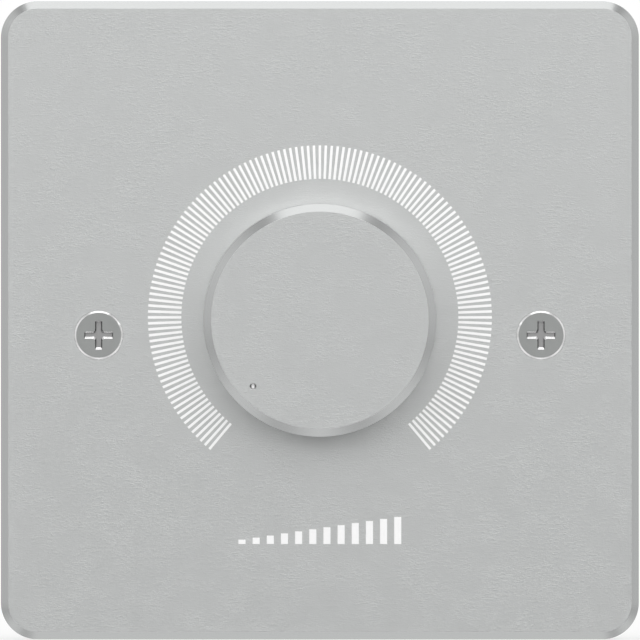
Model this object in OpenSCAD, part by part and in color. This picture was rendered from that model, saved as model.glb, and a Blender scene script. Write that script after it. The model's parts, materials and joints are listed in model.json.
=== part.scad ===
// Wall-plate volume controller: a bevelled metal faceplate with a printed dial scale, a turned
// knob on a rotary potentiometer, and behind the plate a circuit board with a wire terminal.
//
// Every piece is drawn lying flat, as seen from the front: X to the right, Y up and Z towards the
// viewer, with the middle of the faceplate's back at the origin. upright() then stands it on the
// wall: the front faces -Y, and the origin lies midway between the fixing screws, in the wall's plane.

/* [Faceplate] */
// Width and height of the square faceplate
plate_side = 87; // [80:1:100]
// Thickness of the faceplate
plate_t = 3; // [2.6:0.1:5]
// Radius of the faceplate's outer corners
plate_corner_r = 5; // [2:0.5:10]
// Width and depth of the 45 degree bevel round the front
plate_bevel = 1; // [0.3:0.1:1.5]
// Depth of the shallow pocket in the back that seats the potentiometer
pocket_depth = 0.8; // [0.4:0.1:1]

/* [Wall fixings] */
// Distance between the two fixing screws
fixing_spacing = 60.3; // [56:0.1:66]
// How far the fixing screws lie below the faceplate's middle
fixing_drop = 2.03; // [0:0.01:4]
// Diameter of the fixing screws' thread
fixing_thread_d = 3.5; // [3:0.1:3.8]
// Diameter of the fixing screws' heads
fixing_head_d = 6.66; // [6:0.01:7.5]
// Length of the fixing screws, from the faceplate's front to their tips
fixing_length = 25; // [16:1:40]
// Width of the cross recess in those heads, from tip to tip
fixing_cross_w = 3.9; // [3:0.1:4.4]
// Width of the arms of that cross
fixing_cross_arm = 0.95; // [0.6:0.05:1.3]

/* [Dial scale] */
// Number of ticks round the knob
tick_count = 141; // [101:1:151]
// Angle from one tick to the next, in degrees
tick_step = 2; // [1:0.1:2.1]
// Width of a tick
tick_w = 0.35; // [0.2:0.05:0.6]
// Length of a tick
tick_len = 4.57; // [2:0.01:7]
// Gap between the knob's edge and the ticks
scale_gap = 3.05; // [1:0.01:5]
// How far the middle of the ring of ticks lies above the knob's axis
scale_rise = 0.4; // [0:0.05:0.6]
// Thickness of the printed marks
ink_t = 0.05; // [0.02:0.01:0.1]

/* [Level mark] */
// Width of the row of rising bars below the knob
level_mark_w = 22.2; // [10:0.1:40]
// Height of its tallest bar
level_mark_h = 3.7; // [2:0.1:6]
// How far the middle of the row lies below the faceplate's middle
level_mark_drop = 28.65; // [27:0.05:33]
// Number of bars
level_bar_count = 12; // [5:1:20]

/* [Knob] */
// Diameter of the knob
knob_d = 31.66; // [28:0.01:36]
// Height of the knob
knob_h = 13.5; // [12:0.1:25]
// Gap between the knob and the faceplate
knob_gap = 0.8; // [0.5:0.1:1.5]
// Width and depth of the chamfer round the knob's face
knob_chamfer = 1.06; // [0.3:0.01:2]
// Width of the small chamfer round the knob's back
knob_back_chamfer = 0.3; // [0.1:0.1:1]
// Thickness of metal between the knob's face and the end of its bore
knob_crown = 1.2; // [0.8:0.1:3]
// Distance of the pointer dimple from the knob's axis
pointer_r = 12.77; // [9:0.01:13]
// Width of the pointer dimple
pointer_d = 0.95; // [0.6:0.05:2]
// Depth of the pointer dimple
pointer_depth = 0.35; // [0.1:0.05:0.45]
// How far the knob is turned up from the low end of its travel, in degrees
pointer_turn = 5.3; // [0:0.1:90]
// Diameter of the set screw in the knob's side
set_screw_d = 3; // [2.5:0.5:4]
// Length of the set screw
set_screw_len = 8; // [4:1:10]

/* [Potentiometer] */
// Diameter of the shaft
shaft_d = 6; // [5.6:0.05:6.2]
// Thickness of the shaft across its flat
shaft_across = 4.5; // [4:0.1:5]
// Length of the flat, from the shaft's end
shaft_flat_len = 7; // [5:0.1:8]
// How far the bushing stands out beyond its nut
bushing_proud = 1.3; // [0.5:0.1:2]
// Thickness of the nut
nut_t = 2; // [1.5:0.1:2.5]
// Thickness of the washer under the nut
washer_t = 0.5; // [0.3:0.1:1]
// Thickness of the steel frame that wraps the body
frame_t = 0.5; // [0.3:0.1:0.6]
// Distance from one pin to the next
pin_pitch = 2.5; // [2.2:0.1:2.8]

/* [Circuit board] */
// Width of the board
board_w = 38; // [36:1:44]
// Height of the board
board_h = 40; // [39:1:44]
// Thickness of the board
board_t = 1.6; // [1:0.1:2]
// Gap between the faceplate's back and the board
board_gap = 6.6; // [6.3:0.1:9]
// How far the board's middle lies below the knob's axis
board_drop = 7; // [6:0.5:8]
// Radius of the board's corners
board_corner_r = 2; // [0.5:0.5:3]
// Distance of the standoffs from the board's edges
standoff_inset = 3.5; // [3.2:0.1:4.5]
// Size of the standoffs across their flats
standoff_across = 5; // [4.5:0.1:5.1]
// Diameter of the screws that hold the board
board_screw_d = 3; // [2.5:0.1:3]
// Length of those screws under the head
board_screw_len = 6; // [5:0.5:6.5]

/* [Wire terminal] */
// Distance from one pole to the next
pole_pitch = 5.08; // [5:0.01:6]
// Thickness of the wall between two poles
pole_wall = 0.88; // [0.6:0.01:1.1]
// Diameter of the clamp screws' thread
clamp_screw_d = 2.5; // [2:0.1:2.6]
// Diameter of the clamp screws' heads
clamp_head_d = 3.5; // [3.2:0.1:3.6]
// Height of the clamp screws' heads
clamp_head_h = 1.3; // [1:0.1:2]
// How far a cage rises when its screw is turned from open to closed
clamp_travel = 2.5; // [1.5:0.1:3]
// Length of a cage along the wire
cage_len = 4; // [3.4:0.1:5]

/* [Hidden] */
$fn = 96;

// Overrun of every cut past the surface that it opens
over = 0.5;
// Clearance of pressed or screwed pieces that are held tight
tight = 0.01;
// Clearance all round pieces that drop into place
slip = 0.1;
// Radial clearance of the shaft in its bushing
shaft_running = 0.03;
// Clearance of the moving pieces inside the potentiometer
inner_gap = 0.1;

// Faceplate
fixing_hole_clearance = 0.25;
fixing_hole_r = fixing_thread_d / 2 + fixing_hole_clearance;

// Fixing screws: the head's bright rounded rim, the plain neck in the plate and the cross recess
fixing_rim = 0.26;
fixing_neck_r = 1.45;
fixing_cross_depth = 1.7;
fixing_tip = 1.2;

// Dial travel, from the ring of ticks
dial_travel = (tick_count - 1) * tick_step;
dial_angle = dial_travel / 2 - pointer_turn;
scale_inner_r = knob_d / 2 + scale_gap;

// Level mark: the share of its pitch that a bar fills, and the share of the height of the first bar
level_bar_share = 0.5;
level_low_share = 0.16;

// Potentiometer, from the shaft outwards: the bushing with its nut and washer, the rotor, the cavity
// that it turns in, the moulded body, the steel frame and the pocket in the faceplate
bushing_wall = 0.5;
bushing_d = shaft_d + 2 * bushing_wall;
nut_wall = 1.5;
nut_across = bushing_d + 2 * nut_wall;
washer_rim = 2.5;
washer_d = bushing_d + 2 * washer_rim;
rotor_rim = 0.4;
rotor_r = shaft_d / 2 + rotor_rim;
stop_reach = 0.6;
cavity_r = rotor_r + stop_reach + 2 * inner_gap;
pot_wall = 0.6;
pot_w = 2 * (cavity_r + pot_wall);
pot_foot = 1;
pot_l = pot_w + pot_foot;
pocket_room = 1.35;
pocket_d = 2 * (norm([pot_w / 2 + frame_t, pot_w / 2]) + pocket_room);

// Levels of the potentiometer, from its mounting face in the pocket down to the board
mount_z = pocket_depth;
bushing_flange_t = 0.9;
flange_top_z = mount_z - frame_t;
flange_low_z = flange_top_z - bushing_flange_t;
bushing_top_z = plate_t + washer_t + nut_t + bushing_proud;
board_front_z = -board_gap;
board_back_z = board_front_z - board_t;

// Knob
knob_recess_room = 3;
knob_recess_d = washer_d + 2 * knob_recess_room;
knob_low_z = plate_t + knob_gap;
knob_top_z = knob_low_z + knob_h;
knob_recess_clearance = 0.5;
knob_recess_top_z = bushing_top_z + knob_recess_clearance;
knob_bore_top_z = knob_top_z - knob_crown;
shaft_end_clearance = 0.3;
shaft_top_z = knob_bore_top_z - shaft_end_clearance;
shaft_flat_low_z = shaft_top_z - shaft_flat_len;
shaft_flat_y = shaft_across - shaft_d / 2;
set_screw_z = (shaft_top_z + shaft_flat_low_z) / 2;
set_screw_socket = 1.5;

// Shaft below its bearing: the ring's groove, the collar under it and the square tail
groove_depth = 0.6;
clip_t = 0.5;
clip_width = 1.1;
clip_mouth = 2.6;
collar_t = 0.3;
tail_inset = 0.6;
tail_w = (shaft_d / 2 - tail_inset) * sqrt(2);
clip_top_z = flange_low_z - inner_gap;
clip_low_z = clip_top_z - clip_t;
rotor_top_z = clip_low_z - collar_t;
rotor_t = 1.2;
rotor_low_z = rotor_top_z - rotor_t;
wiper_t = 0.2;
tail_low_z = rotor_low_z - wiper_t;

// Inside the moulded body: the track, the rotor's lug and the block that stops it
track_t = 0.6;
brush_drop = 0.65;
brush_gap = 0.05;
track_top_z = tail_low_z - brush_drop - brush_gap;
track_low_z = track_top_z - track_t;
lug_r = cavity_r - 2 * inner_gap;
lug_angle = 30;
stop_spare = 1;
stop_angle = 360 - dial_travel - 2 * stop_spare - lug_angle;

// Brushes of the wiper and the pins of the track
brush_w = 0.6;
brush_shares = [0.72, 0.92];
pin_w = 0.8;
pin_t = 0.3;
pin_count = 3;
pin_start_y = -1.5;
pin_spread = 2.2;
pin_reach = pot_l / 2 + pin_spread;
lead_proud = 1;
leg_w = 2;
cheek_land = 0.8;
cheek_w = bushing_d + 2 * cheek_land;

// Board and its fasteners
standoff_head_d = 6;
standoff_head_t = 1;
standoff_bore_rest = 1;
board_washer_d = 6;
board_washer_t = 0.5;
board_screw_head_d = 5.6;
board_screw_head_h = 2;
board_cross_w = 2.8;
board_cross_arm = 0.7;
board_cross_depth = 1.3;
standoff_x = board_w / 2 - standoff_inset;
standoff_y = board_h / 2 - standoff_inset;

// Wire terminal, in heights above the board's back: h grows away from the wall plate
pole_count = 3;
block_edge = 0.8;
block_floor = 0.6;
block_end_wall = 0.55;
block_front_t = 1.5;
block_back_t = 2.3;
cage_slide_gap = 0.15;
cage_rest_gap = 0.3;
cage_floor_t = 0.8;
cage_top_t = 1.2;
cage_side_t = 0.6;
tongue_t = 0.8;
tongue_gap = 0.25;
tongue_closed_gap = 0.2;
tongue_pin_w = 1;
tongue_pin_t = 0.8;
tip_gap = 0.05;
partition_t = 0.8;
lip_t = 0.6;
lip_reach = 0.15;
clamp_slot_w = 0.6;
clamp_slot_depth = 0.7;
wire_mouth = 0.45;
wire_mouth_depth = 0.5;

cage_w = pole_pitch - pole_wall - 2 * cage_slide_gap;
cage_low_h = block_floor + cage_rest_gap;
cage_floor_h = cage_low_h + cage_floor_t;
tongue_low_h = cage_floor_h + clamp_travel + tongue_closed_gap;
tongue_top_h = tongue_low_h + tongue_t;
cage_top_low_h = tongue_top_h + cage_rest_gap;
cage_top_h = cage_top_low_h + cage_top_t;
partition_low_h = cage_top_h + clamp_travel + cage_rest_gap;
partition_top_h = partition_low_h + partition_t;
clamp_head_low_h = partition_top_h + tip_gap;
clamp_head_top_h = clamp_head_low_h + clamp_head_h;
lip_low_h = clamp_head_top_h + cage_rest_gap;
block_top_h = lip_low_h + lip_t;

cage_opening_w = cage_w - 2 * cage_side_t;
tongue_w = cage_opening_w - 2 * tongue_gap;
chamber_w = cage_w + 2 * cage_slide_gap;
chamber_len = cage_len + 2 * cage_slide_gap;
block_w = pole_count * pole_pitch - pole_wall + 2 * block_end_wall;
block_len = block_front_t + chamber_len + block_back_t;
block_front_y = -board_drop - board_h / 2 + block_edge;
chamber_back_y = block_front_y + block_front_t + chamber_len;
cage_y = chamber_back_y - chamber_len / 2;
tongue_pin_y = chamber_back_y + block_back_t / 2;

// Small parts on the board's back
part_lift = 0.3;
resistor_d = 2.4;
resistor_len = 6.3;
resistor_pitch = 10.16;
resistor_lead_d = 0.6;
diode_d = 1.9;
diode_len = 3.9;
diode_pitch = 7.62;
diode_lead_d = 0.5;
part_row_inset = 6.8;
part_row_step = 3.6;
part_rows_x = [for (i = [0, 1]) board_w / 2 - part_row_inset - i * part_row_step];
part_row_y = -9.2;
capacitor_size = [7.2, 2.5, 6.5];
capacitor_pitch = 5;
capacitor_lead_d = 0.5;
capacitor_y = -13.2;
lead_hole_r = 0.55;
tongue_hole_r = 0.75;

// Stands a piece that is drawn lying flat up against the wall
module upright() {
    translate([0, 0, fixing_drop]) rotate([90, 0, 0]) children();
}

// Turns a piece of the dial to where the pointer rests
module dial_at_rest() {
    rotate([0, 0, dial_angle]) children();
}

// Heights above the board's back, growing away from the faceplate
module behind_board() {
    translate([0, 0, board_back_z]) mirror([0, 0, 1]) children();
}

// One copy at each fixing screw
module at_fixings() {
    for (side = [-1, 1]) translate([side * fixing_spacing / 2, -fixing_drop, 0]) children();
}

// One copy at each corner of the board
module at_standoffs() {
    for (side = [-1, 1], end = [-1, 1])
        translate([side * standoff_x, end * standoff_y - board_drop, 0]) children();
}

// One copy at each pole of the wire terminal
module at_poles() {
    for (pole = [1 : pole_count]) at_pole(pole) children();
}

module at_pole(pole) {
    translate([(pole - (pole_count + 1) / 2) * pole_pitch, 0, 0]) children();
}

// One copy at each pin of the potentiometer
module at_pins() {
    for (i = [0 : pin_count - 1]) translate([(i - (pin_count - 1) / 2) * pin_pitch, 0, 0]) children();
}

// A box centred on X and Y that stands between two levels
module block(size_x, size_y, low, high) {
    translate([-size_x / 2, -size_y / 2, low]) cube([size_x, size_y, high - low]);
}

// A ring between two radii and two levels
module ring(inner_r, outer_r, low, high) {
    difference() {
        translate([0, 0, low]) cylinder(r = outer_r, h = high - low);
        translate([0, 0, low - over]) cylinder(r = inner_r, h = high - low + 2 * over);
    }
}

// The pocket of a cross-head screw, cut down from height top and drawn in towards its floor
module cross_pocket(width, arm, depth, top) {
    intersection() {
        union() {
            block(width, arm, top - depth, top + over);
            block(arm, width, top - depth, top + over);
        }
        translate([0, 0, top - depth])
            cylinder(r1 = arm, r2 = width / 2 + (width / 2 - arm) * over / depth, h = depth + over);
    }
}

// A square with rounded corners, made of two rectangles and four quarter rounds
module rounded_square(side_x, side_y, corner_r) {
    square([side_x - 2 * corner_r, side_y], center = true);
    square([side_x, side_y - 2 * corner_r], center = true);
    for (x = [-1, 1], y = [-1, 1])
        translate([x * (side_x / 2 - corner_r), y * (side_y / 2 - corner_r)]) circle(r = corner_r);
}

// Edge of the faceplate from its back to its front, as far in as reach
function plate_edge(reach) = [
    [-reach, 0],
    [0, 0],
    [0, plate_t - plate_bevel],
    [-plate_bevel, plate_t],
    [-reach, plate_t]
];

module faceplate_blank() {
    straight = plate_side - 2 * plate_corner_r;
    for (quarter = [0 : 3]) rotate([0, 0, quarter * 90]) {
        translate([-straight / 2, 0, 0]) rotate([90, 0, 90]) linear_extrude(straight)
            translate([plate_side / 2, 0]) polygon(plate_edge(plate_side / 2));
        translate([straight / 2, straight / 2, 0]) rotate_extrude(angle = 90)
            translate([plate_corner_r, 0]) polygon(plate_edge(plate_corner_r));
    }
}

module faceplate() {
    color([0.72, 0.73, 0.72]) upright() difference() {
        faceplate_blank();
        at_fixings() {
            translate([0, 0, -over]) cylinder(r = fixing_hole_r, h = plate_t + 2 * over);
            fixing_cone(tight, over);
        }
        translate([0, 0, -over]) cylinder(d = bushing_d + 2 * slip, h = plate_t + 2 * over);
        translate([0, 0, -over]) cylinder(d = pocket_d, h = pocket_depth + over);
        at_standoffs() translate([0, 0, -over])
            cylinder(d = standoff_head_d + 2 * tight, h = standoff_head_t + over);
    }
}

// The 90 degree cone under a fixing screw's head, grown by a clearance and carried on past the front
module fixing_cone(clearance, beyond) {
    cone_r = fixing_head_d / 2 + clearance;
    translate([0, 0, plate_t - cone_r]) cylinder(r1 = 0, r2 = cone_r + beyond, h = cone_r + beyond);
}

module scale_marks() {
    color([0.98, 0.98, 0.98]) upright() translate([0, scale_rise, plate_t])
        for (i = [0 : tick_count - 1]) rotate([0, 0, dial_travel / 2 - i * tick_step])
            translate([-tick_w / 2, scale_inner_r, 0]) cube([tick_w, tick_len, ink_t]);
}

module level_mark() {
    pitch = level_mark_w / (level_bar_count - 1 + level_bar_share);
    color([0.98, 0.98, 0.98]) upright()
        translate([-level_mark_w / 2, -level_mark_drop - level_mark_h / 2, plate_t])
            for (i = [0 : level_bar_count - 1]) {
                rise_share = level_low_share + (1 - level_low_share) * i / (level_bar_count - 1);
                translate([i * pitch, 0, 0])
                    cube([pitch * level_bar_share, level_mark_h * rise_share, ink_t]);
            }
}

module fixing_screw() {
    head_r = fixing_head_d / 2;
    difference() {
        union() {
            translate([0, 0, plate_t]) cylinder(r1 = head_r, r2 = head_r - fixing_rim, h = fixing_rim);
            fixing_cone(0, 0);
            cylinder(r = fixing_neck_r, h = plate_t);
            translate([0, 0, plate_t - fixing_length + fixing_tip])
                cylinder(d = fixing_thread_d, h = fixing_length - plate_t - fixing_tip);
            translate([0, 0, plate_t - fixing_length])
                cylinder(r1 = fixing_neck_r / 2, r2 = fixing_thread_d / 2, h = fixing_tip);
        }
        cross_pocket(fixing_cross_w, fixing_cross_arm, fixing_cross_depth, plate_t + fixing_rim);
    }
}

module wall_screws() {
    color([0.62, 0.62, 0.62]) upright() at_fixings() fixing_screw();
}

// The shaft's round or D-shaped section, grown by a clearance
module shaft_section(clearance) {
    intersection() {
        circle(r = shaft_d / 2 + clearance);
        translate([-shaft_d, shaft_flat_y + clearance - 2 * shaft_d]) square([2 * shaft_d, 2 * shaft_d]);
    }
}

module knob() {
    knob_r = knob_d / 2;
    dimple_r = (pointer_d * pointer_d / 4 + pointer_depth * pointer_depth) / (2 * pointer_depth);
    color([0.73, 0.74, 0.73]) upright() dial_at_rest() difference() {
        rotate_extrude() polygon([
            [0, knob_low_z],
            [knob_r - knob_back_chamfer, knob_low_z],
            [knob_r, knob_low_z + knob_back_chamfer],
            [knob_r, knob_top_z - knob_chamfer],
            [knob_r - knob_chamfer, knob_top_z],
            [0, knob_top_z]
        ]);
        translate([0, 0, knob_low_z - over])
            cylinder(d = knob_recess_d, h = knob_recess_top_z - knob_low_z + over);
        translate([0, 0, knob_recess_top_z - over])
            cylinder(r = shaft_d / 2 + tight, h = shaft_flat_low_z + slip - knob_recess_top_z + over);
        translate([0, 0, shaft_flat_low_z]) linear_extrude(knob_bore_top_z - shaft_flat_low_z)
            shaft_section(tight);
        translate([0, 0, set_screw_z]) rotate([-90, 0, 0])
            cylinder(r = set_screw_d / 2 + tight, h = knob_r + over);
        translate([0, pointer_r, knob_top_z - pointer_depth + dimple_r]) sphere(r = dimple_r);
    }
}

module knob_set_screw() {
    color([0.2, 0.2, 0.21]) upright() dial_at_rest()
        translate([0, shaft_flat_y, set_screw_z]) rotate([-90, 0, 0]) difference() {
            cylinder(d = set_screw_d, h = set_screw_len);
            translate([0, 0, set_screw_len - set_screw_socket])
                cylinder(d = set_screw_socket / cos(30), h = set_screw_socket + over, $fn = 6);
        }
}

module pot_nut() {
    low = plate_t + washer_t;
    color([0.78, 0.77, 0.74]) upright() difference() {
        translate([0, 0, low]) cylinder(d = nut_across / cos(30), h = nut_t, $fn = 6);
        translate([0, 0, low - over]) cylinder(r = bushing_d / 2 + tight, h = nut_t + 2 * over);
    }
}

module pot_washer() {
    color([0.75, 0.74, 0.71]) upright()
        ring(bushing_d / 2 + slip, washer_d / 2, plate_t, plate_t + washer_t);
}

// Steel strap over the bushing's flange and down both sides, with two legs through the board
module pot_frame() {
    color([0.8, 0.8, 0.78]) upright() difference() {
        union() {
            block(pot_w + 2 * frame_t, cheek_w, flange_top_z, mount_z);
            for (side = [-1, 1]) translate([side * (pot_w + frame_t) / 2, 0, 0]) {
                block(frame_t, cheek_w, board_front_z, mount_z);
                block(frame_t, leg_w, board_back_z - lead_proud, board_front_z);
            }
        }
        translate([0, 0, flange_top_z - over])
            cylinder(r = bushing_d / 2 + tight, h = frame_t + 2 * over);
    }
}

module pot_bushing() {
    color([0.7, 0.7, 0.69]) upright() difference() {
        union() {
            block(pot_w, pot_w, flange_low_z, flange_top_z);
            translate([0, 0, flange_low_z]) cylinder(d = bushing_d, h = bushing_top_z - flange_low_z);
        }
        translate([0, 0, flange_low_z - over])
            cylinder(r = shaft_d / 2 + shaft_running, h = bushing_top_z - flange_low_z + 2 * over);
    }
}

module pot_shaft() {
    color([0.76, 0.76, 0.75]) upright() dial_at_rest() {
        difference() {
            translate([0, 0, rotor_top_z]) cylinder(d = shaft_d, h = shaft_flat_low_z - rotor_top_z);
            ring(shaft_d / 2 - groove_depth, shaft_d, clip_low_z, clip_top_z);
        }
        translate([0, 0, shaft_flat_low_z]) linear_extrude(shaft_top_z - shaft_flat_low_z)
            shaft_section(0);
        block(tail_w, tail_w, tail_low_z, rotor_top_z);
    }
}

// Spring ring in the shaft's groove, open on one side
module pot_clip() {
    clip_r = shaft_d / 2 - groove_depth + tight;
    color([0.5, 0.5, 0.5]) upright() dial_at_rest() difference() {
        ring(clip_r, clip_r + clip_width, clip_low_z, clip_top_z);
        translate([0, -clip_r - clip_width, 0])
            block(clip_mouth, 2 * (clip_r + clip_width), clip_low_z - over, clip_top_z + over);
    }
}

module pot_rotor() {
    color([0.9, 0.88, 0.82]) upright() dial_at_rest() difference() {
        union() {
            translate([0, 0, rotor_low_z]) cylinder(r = rotor_r, h = rotor_t);
            rotate([0, 0, 90 - lug_angle / 2]) rotate_extrude(angle = lug_angle)
                translate([tail_w / 2, rotor_low_z]) square([lug_r - tail_w / 2, rotor_t]);
        }
        block(tail_w + 2 * tight, tail_w + 2 * tight, rotor_low_z - over, rotor_top_z + over);
    }
}

// Contact plate under the rotor, with one brush on each of the two tracks
module pot_wiper() {
    plate_r = rotor_r - inner_gap;
    color([0.8, 0.65, 0.35]) upright() dial_at_rest() difference() {
        union() {
            translate([0, 0, tail_low_z]) cylinder(r = plate_r, h = wiper_t);
            for (share = brush_shares) translate([0, share * plate_r - brush_w / 2, 0])
                block(brush_w, brush_w, tail_low_z - brush_drop, tail_low_z + wiper_t / 2);
        }
        block(tail_w + 2 * tight, tail_w + 2 * tight, tail_low_z - over / 2, rotor_low_z + over);
    }
}

module pot_housing() {
    color([0.13, 0.13, 0.14]) upright() {
        difference() {
            block(pot_w, pot_l, board_front_z, flange_low_z);
            translate([0, 0, track_low_z]) cylinder(r = cavity_r, h = flange_low_z - track_low_z + over);
            at_pins() translate([0, -pot_l / 2, 0])
                block(pin_w + 2 * slip, pot_l + 2 * pin_start_y, track_low_z - pin_t - slip, track_low_z + slip);
        }
        rotate([0, 0, -90 - stop_angle / 2]) rotate_extrude(angle = stop_angle)
            translate([rotor_r + inner_gap, rotor_low_z - inner_gap])
                square([cavity_r + pot_wall / 2 - rotor_r - inner_gap, rotor_t + 2 * inner_gap]);
    }
}

module pot_track() {
    color([0.35, 0.22, 0.14]) upright()
        translate([0, 0, track_low_z]) cylinder(r = cavity_r - tight, h = track_t);
}

module pot_terminals() {
    color([0.82, 0.82, 0.8]) upright() at_pins() {
        translate([0, -(pin_reach + pin_t / 2 - pin_start_y) / 2, 0])
            block(pin_w, pin_reach + pin_t / 2 + pin_start_y, track_low_z - pin_t, track_low_z);
        translate([0, -pin_reach, 0])
            block(pin_w, pin_t, board_back_z - lead_proud, track_low_z);
    }
}

// Where the leads of the small parts pass the board, on one side of it
module at_leads(x, y, pitch) {
    for (end = [-1, 1]) translate([x, y + end * pitch / 2, 0]) children();
}

module circuit_board() {
    color([0.07, 0.3, 0.16]) upright() difference() {
        translate([0, -board_drop, board_back_z]) linear_extrude(board_t)
            rounded_square(board_w, board_h, board_corner_r);
        at_standoffs() board_hole(board_screw_d / 2 + slip);
        at_pins() translate([0, -pin_reach, 0]) board_hole(lead_hole_r);
        for (side = [-1, 1]) translate([side * (pot_w + frame_t) / 2, 0, 0])
            block(frame_t + 2 * slip, leg_w + 2 * slip, board_back_z - over, board_front_z + over);
        at_poles() translate([0, tongue_pin_y, 0]) board_hole(tongue_hole_r);
        for (x = part_rows_x) {
            at_leads(-x, part_row_y, resistor_pitch) board_hole(lead_hole_r);
            at_leads(x, part_row_y, diode_pitch) board_hole(lead_hole_r);
        }
        for (side = [-1, 1]) translate([side * capacitor_pitch / 2, capacitor_y, 0])
            board_hole(lead_hole_r);
    }
}

module board_hole(hole_r) {
    translate([0, 0, board_back_z - over]) cylinder(r = hole_r, h = board_t + 2 * over);
}

module board_standoffs() {
    color([0.75, 0.75, 0.74]) upright() at_standoffs() difference() {
        union() {
            cylinder(d = standoff_head_d, h = standoff_head_t);
            translate([0, 0, board_front_z])
                cylinder(d = standoff_across / cos(30), h = board_gap, $fn = 6);
        }
        translate([0, 0, board_front_z - over])
            cylinder(d = board_screw_d + 2 * tight, h = board_gap - standoff_bore_rest + over);
    }
}

module board_screws() {
    head_low = board_washer_t;
    color([0.7, 0.7, 0.7]) upright() behind_board() at_standoffs() difference() {
        union() {
            translate([0, 0, head_low]) cylinder(d = board_screw_head_d, h = board_screw_head_h);
            translate([0, 0, head_low - board_screw_len]) cylinder(d = board_screw_d, h = board_screw_len);
        }
        cross_pocket(board_cross_w, board_cross_arm, board_cross_depth, head_low + board_screw_head_h);
    }
}

module board_washers() {
    color([0.68, 0.68, 0.67]) upright() behind_board() at_standoffs()
        ring(board_screw_d / 2 + slip, board_washer_d / 2, 0, board_washer_t);
}

// Body of the wire terminal: for each pole a chamber for the cage, a seat and an access hole for the
// screw's head, a mouth for the wire and a channel for the current bar
module terminal_housing() {
    color([0.12, 0.5, 0.25]) upright() behind_board() difference() {
        translate([0, block_front_y + block_len / 2, 0]) block(block_w, block_len, 0, block_top_h);
        at_poles() {
            translate([0, cage_y, 0]) {
                block(chamber_w, chamber_len, block_floor, partition_low_h);
                translate([0, 0, partition_low_h - over])
                    cylinder(r = clamp_screw_d / 2 + cage_slide_gap, h = partition_t + 2 * over);
                translate([0, 0, partition_top_h])
                    cylinder(r = clamp_head_d / 2 + cage_slide_gap, h = lip_low_h - partition_top_h);
                translate([0, 0, lip_low_h - over])
                    cylinder(r = clamp_head_d / 2 - lip_reach, h = lip_t + 2 * over);
            }
            translate([0, block_front_y, 0]) {
                block(cage_opening_w, 2 * block_front_t + over, cage_floor_h, tongue_low_h);
                block(cage_opening_w + 2 * wire_mouth, 2 * wire_mouth_depth,
                    cage_floor_h - wire_mouth, tongue_low_h + wire_mouth);
            }
            translate([0, (chamber_back_y + tongue_pin_y + tongue_pin_t / 2) / 2, 0])
                block(tongue_w + 2 * tight, tongue_pin_y - chamber_back_y + tongue_pin_t / 2 + 2 * tight,
                    -over, tongue_top_h + tight);
        }
    }
}

// Current bars: each is a flat tongue inside its cage and a pin down through the board
module terminal_tongues() {
    tip_y = cage_y - cage_len / 2 + cage_rest_gap;
    end_y = tongue_pin_y + tongue_pin_t / 2;
    color([0.8, 0.7, 0.5]) upright() behind_board() at_poles() {
        translate([0, (tip_y + end_y) / 2, 0]) block(tongue_w, end_y - tip_y, tongue_low_h, tongue_top_h);
        translate([0, tongue_pin_y, 0])
            block(tongue_pin_w, tongue_pin_t, -board_t - lead_proud, tongue_low_h);
    }
}

module clamp_screw(pole) {
    color([0.74, 0.74, 0.72]) upright() behind_board() at_pole(pole) translate([0, cage_y, 0])
        difference() {
            union() {
                translate([0, 0, tongue_top_h + tip_gap])
                    cylinder(d = clamp_screw_d, h = clamp_head_low_h - tongue_top_h - tip_gap);
                translate([0, 0, clamp_head_low_h]) cylinder(d = clamp_head_d, h = clamp_head_h);
            }
            block(clamp_slot_w, clamp_head_d + 2 * over, clamp_head_top_h - clamp_slot_depth,
                clamp_head_top_h + over);
        }
}

module clamp_cage(pole) {
    color([0.76, 0.75, 0.7]) upright() behind_board() at_pole(pole) translate([0, cage_y, 0])
        difference() {
            block(cage_w, cage_len, cage_low_h, cage_top_h);
            block(cage_opening_w, cage_len + 2 * over, cage_floor_h, cage_top_low_h);
            translate([0, 0, cage_top_low_h - over])
                cylinder(r = clamp_screw_d / 2 + tip_gap, h = cage_top_t + 2 * over);
        }
}

// A part with a lead at each end, lying along Y on the board's back, its leads bent down through it
module axial_part(body_d, body_len, lead_d, pitch) {
    lift = body_d / 2 + part_lift;
    translate([0, body_len / 2, lift]) rotate([90, 0, 0]) cylinder(d = body_d, h = body_len);
    translate([0, pitch / 2, lift]) rotate([90, 0, 0]) cylinder(d = lead_d, h = pitch);
    for (end = [-1, 1]) translate([0, end * pitch / 2, 0]) {
        translate([0, 0, lift]) sphere(d = lead_d);
        translate([0, 0, -board_t - lead_proud]) cylinder(d = lead_d, h = board_t + lead_proud + lift);
    }
}

module series_resistors() {
    color([0.35, 0.6, 0.75]) upright() behind_board() for (x = part_rows_x)
        translate([-x, part_row_y, 0])
            axial_part(resistor_d, resistor_len, resistor_lead_d, resistor_pitch);
}

module protection_diodes() {
    color([0.75, 0.4, 0.2]) upright() behind_board() for (x = part_rows_x)
        translate([x, part_row_y, 0])
            axial_part(diode_d, diode_len, diode_lead_d, diode_pitch);
}

module filter_capacitor() {
    color([0.85, 0.65, 0.15]) upright() behind_board() translate([0, capacitor_y, 0]) {
        block(capacitor_size[0], capacitor_size[1], part_lift, part_lift + capacitor_size[2]);
        for (side = [-1, 1]) translate([side * capacitor_pitch / 2, 0, -board_t - lead_proud])
            cylinder(d = capacitor_lead_d, h = board_t + lead_proud + part_lift + capacitor_size[1]);
    }
}

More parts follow.
